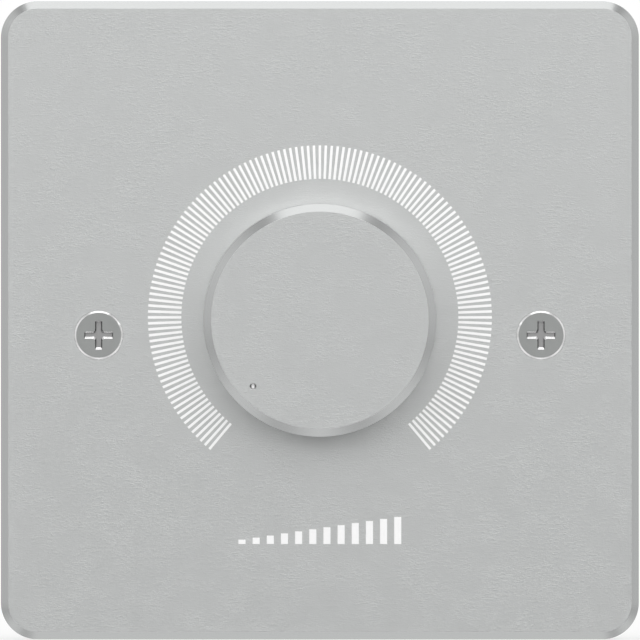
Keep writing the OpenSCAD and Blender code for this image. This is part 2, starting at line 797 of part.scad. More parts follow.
faceplate();
scale_marks();
level_mark();
wall_screws();
knob();
knob_set_screw();
pot_nut();
pot_washer();
pot_frame();
pot_bushing();
pot_shaft();
pot_clip();
pot_rotor();
pot_wiper();
pot_housing();
pot_track();
pot_terminals();
circuit_board();
board_standoffs();
board_screws();
board_washers();
terminal_housing();
terminal_tongues();
clamp_screw(1);  // clamp_screw_1
clamp_screw(2);  // clamp_screw_2
clamp_screw(3);  // clamp_screw_3
clamp_cage(1);  // clamp_cage_1
clamp_cage(2);  // clamp_cage_2
clamp_cage(3);  // clamp_cage_3
series_resistors();
protection_diodes();
filter_capacitor();
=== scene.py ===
# %% [markdown]
# # A wall-plate volume controller
# The object is a square metal plate with one large knob, a printed ring of ticks and two screws. Behind
# the plate sit a rotary potentiometer and a small circuit board. The construction comes as a fixed frame,
# and this script gives every piece its finish and the fine shapes that the frame leaves plain.

# %% Load the frame
import json
import math

import bmesh
import bpy
import numpy as np
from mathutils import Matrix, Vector


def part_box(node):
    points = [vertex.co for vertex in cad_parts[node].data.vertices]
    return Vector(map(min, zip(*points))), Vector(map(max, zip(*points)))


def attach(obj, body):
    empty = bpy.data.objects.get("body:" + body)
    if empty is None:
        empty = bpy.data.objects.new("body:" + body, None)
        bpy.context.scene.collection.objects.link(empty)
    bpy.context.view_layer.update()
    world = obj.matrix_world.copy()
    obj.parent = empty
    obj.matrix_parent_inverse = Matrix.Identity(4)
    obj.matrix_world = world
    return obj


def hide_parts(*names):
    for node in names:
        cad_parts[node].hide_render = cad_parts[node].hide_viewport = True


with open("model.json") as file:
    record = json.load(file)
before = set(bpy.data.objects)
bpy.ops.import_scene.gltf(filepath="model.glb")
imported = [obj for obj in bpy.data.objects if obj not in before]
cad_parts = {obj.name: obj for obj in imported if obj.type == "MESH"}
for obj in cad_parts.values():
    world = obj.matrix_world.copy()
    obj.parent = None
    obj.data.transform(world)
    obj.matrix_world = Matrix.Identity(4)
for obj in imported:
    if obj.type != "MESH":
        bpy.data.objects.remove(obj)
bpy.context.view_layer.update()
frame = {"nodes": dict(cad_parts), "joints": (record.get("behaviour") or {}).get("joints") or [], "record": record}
MM, MICRON = 1e-3, 1e-6

# %% [markdown]
# ## Camera
# The photograph is taken square on and shows almost no perspective: the knob's face, 14 mm nearer than
# the plate, isn't larger than it should be. A very long lens from far away gives that, and it still lets
# the distance be worked out from the width of the plate in the picture.

# %% Camera
PICTURE_PX = 640
PLATE_WIDTH_PX = 638.16
PLATE_MIDDLE_PX = (319.87, 320.3)
LENS_MM = 1500

plate_low, plate_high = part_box("faceplate")
plate_middle = (plate_low + plate_high) / 2
metres_per_px = (plate_high.x - plate_low.x) / PLATE_WIDTH_PX
camera_data = bpy.data.cameras.new("camera")
camera_data.lens = LENS_MM
camera_distance = PICTURE_PX * metres_per_px * LENS_MM / camera_data.sensor_width
camera_data.clip_end = 2 * camera_distance
camera = bpy.data.objects.new("camera", camera_data)
camera.rotation_euler = (math.pi / 2, 0, 0)
camera.location = (
    plate_middle.x + (PICTURE_PX / 2 - PLATE_MIDDLE_PX[0]) * metres_per_px,
    plate_low.y - camera_distance,
    plate_middle.z - (PICTURE_PX / 2 - PLATE_MIDDLE_PX[1]) * metres_per_px,
)
bpy.context.collection.objects.link(camera)
bpy.context.scene.camera = camera
bpy.context.scene.view_settings.view_transform = "Standard"
print("camera", round(camera_distance, 3), "m away,", round(MM / metres_per_px, 3), "px per mm")


# %% [markdown]
# ## Node helpers
# Materials and the world are node trees. A few small functions keep them readable: each adds one node,
# fills its sockets with numbers or with links, and hands back what comes out of it.

# %% Node helpers
def put(tree, kind, sockets=None, **settings):
    """Adds a node, sets its attributes, then fills or links each named socket."""
    made = tree.nodes.new("ShaderNode" + kind)
    for name, value in settings.items():
        setattr(made, name, value)
    for key, value in (sockets or {}).items():
        if isinstance(value, bpy.types.NodeSocket):
            tree.links.new(value, made.inputs[key])
        else:
            made.inputs[key].default_value = value
    return made


def maths(tree, operation, *values):
    """One Math node: the operation on up to three numbers."""
    return put(tree, "Math", dict(enumerate(values)), operation=operation).outputs[0]


def vectors(tree, operation, *values):
    """One Vector Math node. LENGTH puts out a number, the others a vector."""
    node = put(tree, "VectorMath", dict(enumerate(values)), operation=operation)
    return node.outputs["Value" if operation == "LENGTH" else "Vector"]


def coordinate(tree, kind="Object", axis=None):
    """Texture coordinates of a kind, or one of their three numbers."""
    place = put(tree, "TexCoord").outputs[kind]
    return place if axis is None else put(tree, "SeparateXYZ", {0: place}).outputs[axis]


def noise(tree, place, scale, detail, **sockets):
    """A noise from 0 to 1 read at a place."""
    return put(tree, "TexNoise", {"Vector": place, "Scale": scale, "Detail": detail, **sockets}).outputs[0]


def mapped(tree, value, low, high, to_low=0, to_high=1, kind="LINEAR"):
    """Takes value from the range low..high to to_low..to_high, held at the ends."""
    sockets = {0: value, 1: low, 2: high, 3: to_low, 4: to_high}
    return put(tree, "MapRange", sockets, interpolation_type=kind).outputs[0]


def between(tree, share, first, second):
    """A number that goes from first to second as share goes from 0 to 1."""
    return put(tree, "Mix", {0: share, 2: first, 3: second}).outputs[0]


def mixed(tree, share, first, second):
    """A colour that goes from first to second as share goes from 0 to 1."""
    first, second = (value if isinstance(value, bpy.types.NodeSocket) else (*value, 1)
                     for value in (first, second))
    return put(tree, "Mix", {0: share, 6: first, 7: second}, data_type="RGBA").outputs[2]


def grey(level):
    """A neutral colour."""
    return (level, level, level)


print("node helpers ready")

# %% [markdown]
# ## Studio
# A metal surface shows the room more than it shows its own colour. The bevels stand at 45 degrees, so
# they mirror the ring of the room at right angles to the camera: a bright panel overhead, narrow dark
# gaps beside it, and paler and darker walls further round. The faces mirror what lies in front of them,
# which is darker just below the lens than above it. The world gives all that to reflections, an even
# white to matt surfaces, and plain white to the camera.

# %% World
RING_STOPS = (
    (0, 0.86), (13, 0.85), (20, 0.82), (24, 0.79), (30, 0.57), (35, 0.63), (45, 0.83), (60, 0.91), (75, 0.84),
    (90, 0.79), (105, 0.66), (112, 0.73), (120, 0.82), (128, 0.93), (135, 0.96), (145, 0.9), (150, 0.81),
    (157, 0.71), (165, 0.75), (172, 0.88), (180, 1),
)
FRONT_STOPS = (
    (-0.4, 0.9), (-0.28, 0.8), (-0.16, 0.5), (-0.06, 0.24), (0, 0.54), (0.06, 1.26), (0.16, 1.44),
    (0.28, 1.12), (0.4, 0.95), (0.6, 1.15), (1, 1.15),
)
FRONT_REACH, BACK_REACH = (-0.35, -0.8), (0.3, 0.8)
BACK_LEVEL, DIFFUSE_LEVEL, LEAST_ACROSS = 0.9, 0.96, 0.001


def read_off(tree, value, stops):
    """The level at a value, read off straight lines between (value, level) stops."""
    first, last, top = stops[0][0], stops[-1][0], max(level for _, level in stops)
    table = put(tree, "ValToRGB", {0: mapped(tree, value, first, last)})
    ramp = table.color_ramp
    while len(ramp.elements) < len(stops):
        ramp.elements.new(0.5)
    for element, (place, level) in zip(ramp.elements, stops):
        element.position = (place - first) / (last - first)
        element.color = (*grey(level / top), 1)
    return maths(tree, "MULTIPLY", table.outputs[0], top)


world = bpy.data.worlds.new("studio")
world.use_nodes = True
bpy.context.scene.world = world
tree = world.node_tree
tree.nodes.clear()
way = [coordinate(tree, "Generated", axis) for axis in range(3)]
squares = maths(tree, "ADD", maths(tree, "MULTIPLY", way[0], way[0]), maths(tree, "MULTIPLY", way[2], way[2]))
across = maths(tree, "MAXIMUM", maths(tree, "SQRT", squares), LEAST_ACROSS)
from_top = maths(tree, "ARCCOSINE", maths(tree, "DIVIDE", way[2], across))
ring_level = read_off(tree, maths(tree, "DIVIDE", from_top, math.radians(1)), RING_STOPS)
front_level = read_off(tree, way[2], FRONT_STOPS)
in_front = mapped(tree, way[1], *FRONT_REACH, kind="SMOOTHSTEP")
at_back = mapped(tree, way[1], *BACK_REACH, kind="SMOOTHSTEP")
level = between(tree, at_back, between(tree, in_front, ring_level, front_level), BACK_LEVEL)
rays = put(tree, "LightPath").outputs
seen = maths(tree, "MAXIMUM", rays["Is Camera Ray"], rays["Is Transmission Ray"])
shown = maths(tree, "MAXIMUM", seen, rays["Is Glossy Ray"])
room = put(tree, "CombineColor", {0: level, 1: level, 2: level}).outputs[0]
backdrop = put(tree, "Background", {"Color": mixed(tree, seen, room, grey(1)), "Strength": 1})
fill = put(tree, "Background", {"Color": (1, 1, 1, 1), "Strength": DIFFUSE_LEVEL})
both = put(tree, "MixShader", {0: shown, 1: fill.outputs[0], 2: backdrop.outputs[0]})
put(tree, "OutputWorld", {0: both.outputs[0]})
print("world ring", len(RING_STOPS), "stops")

# %% [markdown]
# ## Lamps
# Two soft boxes give the shadows and the highlights their direction: a large one above the camera, and a
# smaller one over the plate's top edge. Most of the light still comes from the white room. A row holds a
# name, a place, a size and a radiance.

# %% Lamps
SOFTBOXES = (
    ("key_softbox", (0, -0.8, 0.36), (1.0, 0.66), 0.45),
    ("top_softbox", (0, -0.1, 0.6), (0.5, 0.35), 0.66),
)


def softbox(name, place, size, radiance):
    """A rectangular lamp aimed at the origin. Its power is radiance times pi times its area, so that a
    radiance of 1 looks white."""
    lamp = bpy.data.lights.new(name, "AREA")
    lamp.shape = "RECTANGLE"
    lamp.size, lamp.size_y = size
    lamp.energy = radiance * math.pi * size[0] * size[1]
    holder = bpy.data.objects.new(name, lamp)
    holder.location = place
    holder.rotation_euler = (-Vector(place)).to_track_quat("-Z", "Y").to_euler()
    holder.visible_camera = False
    bpy.context.collection.objects.link(holder)


for row in SOFTBOXES:
    softbox(*row)
print("lamps", len(bpy.data.lights))

# %% [markdown]
# ## Floor
# The plate stands on its lower edge on a pale round floor that fades into the white beyond it. About half
# of what the camera sees of it is plain white and the rest is its real shading, which keeps the object's
# soft shadow.

# %% Floor
FLOOR_RADIUS, FLOOR_CORNERS = 0.42, 96
FADE_FROM, FADE_TO = 0.4 * FLOOR_RADIUS, 0.95 * FLOOR_RADIUS
FLOOR_SHADING_SHARE = 0.55
FLOOR_COLOUR = (0.93, 0.93, 0.93, 1)
made_of = {}


def around(count):
    """Evenly spaced angles of one full turn."""
    return np.linspace(0, 2 * np.pi, count, endpoint=False)


def placed(name, points, faces):
    """A new mesh object from points in metres and faces, at the origin."""
    mesh = bpy.data.meshes.new(name)
    mesh.from_pydata(np.asarray(points).tolist(), [], faces)
    made = bpy.data.objects.new(name, mesh)
    bpy.context.collection.objects.link(made)
    return made


def blank_material(name):
    """Adds a material under its name, and hands back its empty node tree."""
    made_of[name] = bpy.data.materials.new(name)
    made_of[name].use_nodes = True
    made_of[name].node_tree.nodes.clear()
    return made_of[name].node_tree


tree = blank_material("floor_white")
reach = vectors(tree, "LENGTH", coordinate(tree))
shading = mapped(tree, reach, FADE_FROM, FADE_TO, FLOOR_SHADING_SHARE, 0, "SMOOTHSTEP")
plain = put(tree, "Emission", {"Color": (1, 1, 1, 1), "Strength": 1}).outputs[0]
matt = put(tree, "BsdfDiffuse", {"Color": FLOOR_COLOUR}).outputs[0]
faded = put(tree, "MixShader", {0: shading, 1: plain, 2: matt}).outputs[0]
is_camera = put(tree, "LightPath").outputs["Is Camera Ray"]
put(tree, "OutputMaterial", {0: put(tree, "MixShader", {0: is_camera, 1: matt, 2: faded}).outputs[0]})
turn = around(FLOOR_CORNERS)
rim = np.stack([FLOOR_RADIUS * np.cos(turn), FLOOR_RADIUS * np.sin(turn), np.full(len(turn), plate_low.z)], 1)
floor = placed("floor", rim, [list(range(len(turn)))])
floor.data.materials.append(made_of["floor_white"])
floor.visible_glossy = False
print("floor", FLOOR_RADIUS, "m in radius")

# %% [markdown]
# ## Where things are
# The construction already holds every place, so nothing is measured twice. A node's box gives its size,
# and the boxes of its separate solids give the places of repeated pieces such as screws and leads. Two
# drawing frames are used: one lies flat on the plate with its height towards the viewer, the other lies
# flat on the circuit board with its height towards the back. Both are in millimetres.

# %% Places
body_of = {node: body for body, nodes in frame["record"]["behaviour"]["bodies"].items() for node in nodes}
slot_of = {part["node"]: part["material_slot"] for part in frame["record"]["subparts"]}
DIAL_Z = next(joint for joint in frame["joints"] if joint["name"] == "dial_turn")["pos_m"][2]
board_low, board_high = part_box("circuit_board")


def points_of(mesh):
    """All points of a mesh as the rows of an array."""
    points = np.zeros(3 * len(mesh.vertices))
    mesh.vertices.foreach_get("co", points)
    return points.reshape(-1, 3)


def middles(node):
    """The middles of a node's separate solids in metres, sorted by x and then by z.

    Equal points count as one. Every point starts with its own number, and takes the lowest number among
    its neighbours until nothing changes: then each solid has one number.
    """
    mesh = frame["nodes"][node].data
    points = points_of(mesh)
    ends = np.zeros(2 * len(mesh.edges), np.int32)
    mesh.edges.foreach_get("vertices", ends)
    _, same = np.unique(np.round(points / MICRON), axis=0, return_inverse=True)
    first, last = same.ravel()[ends.reshape(-1, 2)].T
    number, before = np.arange(same.max() + 1), None
    while not np.array_equal(number, before):
        before = number.copy()
        np.minimum.at(number, first, number[last])
        np.minimum.at(number, last, number[first])
        number = number[number]
    number = number[same.ravel()]
    solids = [points[number == one] for one in np.unique(number)]
    solids.sort(key=lambda solid: (round(solid[:, 0].min(), 5), round(solid[:, 2].min(), 5)))
    return [(solid.min(0) + solid.max(0)) / 2 for solid in solids]


def facing_front(points):
    """(right, up, towards the viewer) in mm, from the dial's axis and the wall, to the shared frame."""
    points = np.asarray(points, float)
    return np.stack([points[..., 0], -points[..., 2], points[..., 1]], -1) * MM + (0, 0, DIAL_Z)


def facing_back(points):
    """(left, up, away from the plate) in mm, from the dial's axis and the board's back, to the shared
    frame. Left is the viewer's left behind the object."""
    points = np.asarray(points, float)
    return np.stack([-points[..., 0], points[..., 2], points[..., 1]], -1) * MM + (0, board_high.y, DIAL_Z)


def on_plate(place):
    """A place in the shared frame as (right, up) in mm on the plate's front."""
    return (place[0] / MM, (place[2] - DIAL_Z) / MM)


def on_board(place):
    """A place in the shared frame as (left, up) in mm on the board's back."""
    return (-place[0] / MM, (place[2] - DIAL_Z) / MM)


def places_of(node, flat=on_board):
    """The flat places of a node's separate solids."""
    return [flat(place) for place in middles(node)]


print("dial axis", DIAL_Z, "board back", round(board_high.y / MM, 2), "mm behind the wall's plane")


# %% [markdown]
# ## Shape helpers
# A turned part is a profile carried round an axis, a wire is a circle carried along a path, and both are
# a grid of points with two parameters. Working the grid out as whole arrays keeps the formulas short. A
# part is a pair of points and faces until it is laid down as a piece.

# %% Shape helpers
def grid_faces(rows, columns):
    """The quads of a grid of rows by columns whose rows close on themselves."""
    row, column = np.arange(rows - 1)[:, None] * columns, np.arange(columns)[None, :]
    after = (column + 1) % columns
    corners = (row + column, row + after, row + columns + after, row + columns + column)
    return np.stack(np.broadcast_arrays(*corners), -1).reshape(-1, 4).tolist()


def unit(ways):
    """Directions of length 1, along the last axis."""
    return ways / np.linalg.norm(ways, axis=-1, keepdims=True)


def rounded(corners, radius, steps=4):
    """A line through corners with each inner corner turned into an arc that touches both sides.

    The arc starts radius / tan(half the corner) before the corner, and its middle lies on the line that
    halves the corner, radius / sin(half the corner) away from it.
    """
    corners = np.asarray(corners, float)
    here = corners[1:-1]
    back, ahead = unit(corners[:-2] - here), unit(corners[2:] - here)
    half = np.arccos(np.clip((back * ahead).sum(1), -1, 1))[:, None] / 2
    radius = np.broadcast_to(radius, len(here))[:, None]
    centre = here + unit(back + ahead) * radius / np.sin(half)
    first, last = (here + way * radius / np.tan(half) - centre for way in (back, ahead))
    share = np.linspace(0, 1, steps + 1)[:, None, None]
    arcs = centre + unit(first * (1 - share) + last * share) * radius
    arcs = arcs.swapaxes(0, 1).reshape(-1, corners.shape[1])
    return np.concatenate([corners[:1], arcs, corners[-1:]])


def rounded_box_line(half, corner, inset=0.0, centre=(0, 0), steps=6):
    """The outline of a rectangle with round corners, drawn in by inset.

    Each corner is a quarter circle about a fixed middle, so its radius shrinks with the inset.
    """
    turn = np.linspace(0, np.pi / 2, steps + 1)
    turn = np.concatenate([turn + quadrant * np.pi / 2 for quadrant in range(4)])
    signs = np.repeat([(1, 1), (-1, 1), (-1, -1), (1, -1)], steps + 1, axis=0)
    arcs = (corner - inset) * np.stack([np.cos(turn), np.sin(turn)], 1)
    return signs * (np.asarray(half, float) - corner) + centre + arcs


def turned_rows(radius, height, count):
    """A part whose rows of radii, at one height each, go round the height axis."""
    turn = around(count)
    points = np.stack(np.broadcast_arrays(radius * np.cos(turn), radius * np.sin(turn), height), -1)
    return points.reshape(-1, 3), grid_faces(len(height), count)


def turned(profile, count=96):
    """A profile of (radius, height) turned about the height axis. One that starts or ends on the axis is
    closed there, because its points meet and are merged."""
    profile = np.asarray(profile, float)
    return turned_rows(profile[:, 0, None], profile[:, 1, None], count)


def carried(path, section, flat):
    """A clockwise section of (sideways, flat) points carried along a path, with closed ends.

    flat is a direction square to the whole path, and sideways is ahead x flat.
    """
    path, section = np.asarray(path, float), np.asarray(section, float)
    side = np.cross(unit(np.gradient(path, axis=0)), flat)
    ring = path[:, None] + section[:, :1] * side[:, None] + section[:, 1:] * np.asarray(flat)
    rows, count = ring.shape[:2]
    caps = [list(range(count)), list(range((rows - 1) * count, rows * count))[::-1]]
    return ring.reshape(-1, 3), grid_faces(rows, count) + caps


def tube(path, radius, count=16):
    """A round wire along a path that keeps its first coordinate."""
    turn = around(count)
    return carried(path, radius * np.stack([np.cos(turn), -np.sin(turn)], 1), (1.0, 0.0, 0.0))


def lofted(outlines, heights):
    """Outlines with equal counts, stacked at heights, with flat closed ends."""
    points = [np.c_[line, np.full(len(line), height)] for line, height in zip(outlines, heights)]
    count, rows = len(outlines[0]), len(outlines)
    caps = [list(range(count)), list(range((rows - 1) * count, rows * count))]
    return np.concatenate(points), grid_faces(rows, count) + caps


def joined(parts):
    """Several parts as one."""
    points, faces, start = [], [], 0
    for at, loops in parts:
        points.append(np.asarray(at))
        faces += [[index + start for index in loop] for loop in loops]
        start += len(at)
    return np.concatenate(points), faces


def moved(part, place):
    """A part shifted to a place."""
    return part[0] + np.asarray(place, float), part[1]


def spread(part, places):
    """Copies of a part at several flat places."""
    return [moved(part, (*place, 0)) for place in places]


def spun(part, angle):
    """A part turned about the height axis by an angle, anticlockwise as its viewer sees it."""
    cosine, sine = math.cos(angle), math.sin(angle)
    return part[0] @ np.array([[cosine, sine, 0], [-sine, cosine, 0], [0, 0, 1]]), part[1]


print("shape helpers ready")

# %% [markdown]
# ## From a shape to a piece
# A piece is cleaned, cut and shaded the same way each time. Small parts show why smooth shading needs
# care: where a wide flat meets a narrow rounding, the flat would pick up some of the rounding's turn. So
# an edge between a large face and one many times smaller is kept sharp, and the flats stay flat.

# %% Piece helpers
MERGE, FLAT_ANGLE, FLAT_RATIO, SOFT_SHARP = 0.5 * MICRON, math.radians(0.1), 12, 30


def opened(mesh, flatten=False, outward=False):
    """A mesh opened for editing: doubles merged, and flats joined or faces turned outwards if asked."""
    shape = bmesh.new()
    shape.from_mesh(mesh)
    bmesh.ops.remove_doubles(shape, verts=shape.verts, dist=MERGE)
    if flatten:
        bmesh.ops.dissolve_limit(shape, angle_limit=FLAT_ANGLE, verts=shape.verts, edges=shape.edges)
    if outward:
        bmesh.ops.recalc_face_normals(shape, faces=shape.faces)
    return shape


def closed(shape, mesh):
    """Writes an opened shape back to its mesh."""
    shape.to_mesh(mesh)
    shape.free()


def smoothed(piece, sharp):
    """Cleans a piece and smooths it, except over edges steeper than the sharp angle and between a large
    face and one that is FLAT_RATIO times smaller."""
    shape = opened(piece.data, flatten=True, outward=True)
    for edge in shape.edges:
        sizes = sorted(face.calc_area() for face in edge.link_faces)
        steep = edge.calc_face_angle(0) > math.radians(sharp)
        edge.smooth = not steep and sizes[-1] < FLAT_RATIO * sizes[0]
    for face in shape.faces:
        face.smooth = True
    closed(shape, piece.data)


def bake(piece):
    """Makes a piece's modifiers part of its mesh."""
    done = bpy.data.meshes.new_from_object(piece.evaluated_get(bpy.context.evaluated_depsgraph_get()))
    piece.modifiers.clear()
    piece.data = done
    done.name = piece.name


def cut(piece, cutters):
    """Takes the cutter parts, in metres, out of a piece for good."""
    helpers = [placed("cutter", points, faces) for points, faces in cutters]
    for helper in helpers:
        closed(opened(helper.data, outward=True), helper.data)
        taken = piece.modifiers.new("cut", "BOOLEAN")
        taken.object, taken.solver = helper, "EXACT"
    bake(piece)
    for helper in helpers:
        bpy.data.meshes.remove(helper.data)


def completed(piece, material, node, sharp, cutters):
    """Shades a piece, cuts it, gives it its finish and its body, and hides the node it stands for. A piece
    that stands for no node rides on the controller."""
    smoothed(piece, sharp)
    if cutters:
        cut(piece, cutters)
        smoothed(piece, sharp)
    piece.data.materials.clear()
    piece.data.materials.append(made_of[material])
    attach(piece, body_of.get(node, "controller"))
    if node:
        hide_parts(node)
    return piece


def lay(name, parts, material, node=None, facing=facing_back, sharp=35, cutters=()):
    """Lays drawn parts down as one piece, with the drawn cutters taken out of it."""
    points, faces = joined(parts)
    piece = placed(name, facing(points), faces)
    return completed(piece, material, node, sharp, [(facing(at), loops) for at, loops in cutters])


def softened(node, material, width, cutters=()):
    """A copy of a construction node with its sharp edges broken by a small bevel of that width in mm."""
    made = bpy.data.objects.new(node + "_soft", frame["nodes"][node].data.copy())
    bpy.context.collection.objects.link(made)
    closed(opened(made.data, flatten=True), made.data)
    edge = made.modifiers.new("broken_edges", "BEVEL")
    edge.width, edge.segments, edge.limit_method = width * MM, 2, "ANGLE"
    edge.angle_limit = math.radians(SOFT_SHARP)
    edge.use_clamp_overlap = True
    bake(made)
    completed(made, material, node, SOFT_SHARP, cutters)


print("piece helpers ready")

# %% [markdown]
# ## Finishes that pieces share
# The plate and the knob have the same satin skin: a faint, wavy grain that runs from side to side. Turned
# metal carries fine rings round its axis, and everything else has a fine even grain with cloudy shade.
# Each is a shader group that puts out a height and a shade, and every material feeds those to its own
# shader with its own values. Patches and clouds are counted per metre.

# %% Shared finishes
RIDGE_SPAN, RIDGE_HEIGHT, WAVINESS, GRAIN_ROUGH = (0.46, 0.64), 0.36, 1.6, 0.6
PATCH_SPAN, PATCH_DEPTHS, ROUND_SHARE = (0.35, 0.65), (0.5, 1.4), 0.02
PATCHES, SATIN_CLOUDS, FINE_CLOUDS, TURNED_CLOUDS = 260, 90, 350, 250


def skin_group(name, build, *inputs):
    """A shader group that reads a place and the named inputs, and puts out a height and a shade."""
    tree = bpy.data.node_groups.new(name, "ShaderNodeTree")
    for label, kind, default in (("Place", "Vector", (0, 0, 0)), *inputs):
        socket = tree.interface.new_socket(name=label, in_out="INPUT", socket_type="NodeSocket" + kind)
        socket.default_value = default
    for label in ("Height", "Shade"):
        tree.interface.new_socket(name=label, in_out="OUTPUT", socket_type="NodeSocketFloat")
    given = tree.nodes.new("NodeGroupInput").outputs
    out = tree.nodes.new("NodeGroupOutput").inputs
    for label, value in zip(("Height", "Shade"), build(tree, given)):
        tree.links.new(value, out[label])
    return tree


def satin(tree, given):
    """Wavy ridges that run from side to side: a noise squeezed upright and bent by its own distortion,
    kept only where it stands high, deeper in some patches than in others."""
    size = maths(tree, "DIVIDE", 1, given["Length"])
    stretch = put(tree, "CombineXYZ", {0: size, 1: size, 2: maths(tree, "MULTIPLY", size, given["Squeeze"])})
    place = vectors(tree, "MULTIPLY", given["Place"], stretch.outputs[0])
    wavy = noise(tree, place, 1, 2, Roughness=GRAIN_ROUGH, Distortion=WAVINESS)
    ridge = mapped(tree, wavy, *RIDGE_SPAN, 0, RIDGE_HEIGHT, "SMOOTHSTEP")
    depth = mapped(tree, noise(tree, given["Place"], PATCHES, 1), *PATCH_SPAN, *PATCH_DEPTHS)
    return maths(tree, "MULTIPLY", ridge, depth), noise(tree, given["Place"], SATIN_CLOUDS, 2)


def fine(tree, given):
    """Fine grain, stretched as asked, with a slow cloudy shade."""
    place = vectors(tree, "MULTIPLY", given["Place"], given["Stretch"])
    grain = noise(tree, place, given["Fineness"], 4, Roughness=GRAIN_ROUGH)
    return grain, noise(tree, given["Place"], FINE_CLOUDS, 3)


def lathe(tree, given):
    """Tool marks: a noise read along the radius and the axis, and only slowly round it."""
    arm = vectors(tree, "SUBTRACT", given["Place"], given["Centre"])
    flat = vectors(tree, "MULTIPLY", arm, (1, 0, 1))
    height = put(tree, "SeparateXYZ", {0: arm}).outputs[1]
    rings = put(tree, "CombineXYZ", {0: vectors(tree, "LENGTH", flat), 1: height}).outputs[0]
    place = vectors(tree, "ADD", rings, vectors(tree, "MULTIPLY", flat, grey(ROUND_SHARE)))
    grain = noise(tree, place, given["Fineness"], 2, Roughness=GRAIN_ROUGH)
    return grain, noise(tree, given["Place"], TURNED_CLOUDS, 3)


SATIN = skin_group("satin_skin", satin, ("Length", "Float", MM), ("Squeeze", "Float", 4.8))
FINE = skin_group("fine_skin", fine, ("Fineness", "Float", 4000.0), ("Stretch", "Vector", (1, 1, 1)))
TURNED = skin_group("turned_skin", lathe, ("Centre", "Vector", (0, 0, 0)), ("Fineness", "Float", 6000.0))
print("groups", [made.name for made in bpy.data.node_groups])

# %% [markdown]
# ## From a skin to a material
# A finish is a Principled shader whose colour and roughness move between two values with the skin's
# shade, and whose normal is bumped by the skin's height. The bump is given in metres, so it can be
# thought of as a real roughness: a few thousandths of a millimetre on satin metal.

# %% Material helpers
COATED = {"Coat Weight": 0.6, "Coat Roughness": 0.05}
WAXED = {"Coat Weight": 0.3, "Coat Roughness": 0.15}
BAND_EDGE, SHADE_SPAN = 0.03, (0.3, 0.7)


def skinned(tree, skin, values=None):
    """Places a skin group on Object coordinates, and returns its height and its shade from 0 to 1."""
    grain = put(tree, "Group", node_tree=skin)
    tree.links.new(coordinate(tree), grain.inputs["Place"])
    for key, value in (values or {}).items():
        grain.inputs[key].default_value = value
    return grain.outputs["Height"], mapped(tree, grain.outputs["Shade"], *SHADE_SPAN)


def facing_share(tree, axis=1):
    """How far the surface faces along an axis, either way: along the second it is 1 where it looks to
    the front or the back, and 0 on a side wall."""
    return maths(tree, "ABSOLUTE", coordinate(tree, "Normal", axis))


def shaded(tree, colour, rough, height, bump, **sockets):
    """Ends a material with one Principled shader and its bump in metres."""
    normal = put(tree, "Bump", {"Strength": 1, "Distance": bump, "Height": height}).outputs[0]
    sockets = {"Base Color": colour, "Roughness": rough, "Normal": normal, **sockets}
    put(tree, "OutputMaterial", {0: put(tree, "BsdfPrincipled", sockets).outputs[0]})


def banded(tree, colour, node, bands):
    """The colour with bands over it, each (place, width, colour) in mm up from a node's middle."""
    low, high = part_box(node)
    along = maths(tree, "SUBTRACT", coordinate(tree, axis=2), (low.z + high.z) / 2)
    along = maths(tree, "DIVIDE", along, MM)
    for place, width, band in bands:
        off = maths(tree, "ABSOLUTE", maths(tree, "SUBTRACT", along, place))
        inside = mapped(tree, off, width / 2 - BAND_EDGE, width / 2 + BAND_EDGE, 1, 0)
        colour = mixed(tree, inside, colour, band)
    return colour


def finish(name, first, second, rough, microns, skin=FINE, values=None, bands=None, **sockets):
    """A material whose colour and roughness go from the first to the second value with the shade. Bands
    are a node and the rows that it has."""
    tree = blank_material(name)
    height, shade = skinned(tree, skin, values)
    colour = mixed(tree, shade, first, second)
    if bands:
        colour = banded(tree, colour, *bands)
    shaded(tree, colour, mapped(tree, shade, 0, 1, *rough), height, microns * MICRON, **sockets)


print("coats", COATED, WAXED)

# %% [markdown]
# ## Aluminium of the plate and the knob
# Both have a satin face, and bevels that were cut afterwards and are smoother. The normal tells them
# apart: on a face it points straight at the viewer, on a bevel it leans by 45 degrees, on a side wall it
# is square to the view. The knob's side and back are bare turned metal, brighter than its face. Its dimple
# is smoother than the face, and its colour is painted light: a painted highlight round a spot below the
# middle, painted shade at its left and right, and painted shade towards its bottom. Its spans are shares
# of its radius.

# %% Aluminium
ALUMINIUM, BARE_ALUMINIUM = (0.52, 0.53, 0.527), (0.93, 0.935, 0.93)
FACE_ROUGH, BEVEL_ROUGH, SIDE_ROUGH, DIMPLE_ROUGH_SHARE = 0.34, 0.2, 0.18, 0.5
FACE_LEAN, SIDE_LEAN = (0.8, 0.97), (0.1, 0.4)
GRAIN_BUMP, SIDE_MARKS_SHARE, ROUGH_WANDER = 13, 0.05, 0.004
# The dimple's colours are painted light: a painted highlight, painted shade at its sides, and painted shade
# towards its bottom.
DIMPLE_HIGHLIGHT, DIMPLE_SIDE_SHADE, DIMPLE_SHADED_BOTTOM, DIMPLE_LIT_TOP = grey(0.97), grey(0.3), grey(0.5), grey(0.74)
HIGHLIGHT_DROP, HIGHLIGHT_SPAN, SIDE_SHADE_SPAN, LIT_TOP_SPAN, DIMPLE_RIM = 0.25, (0.5, 0.65), (0.3, 0.6), (-0.45, -0.1), 1.1
dial_centre = (0, 0, DIAL_Z)


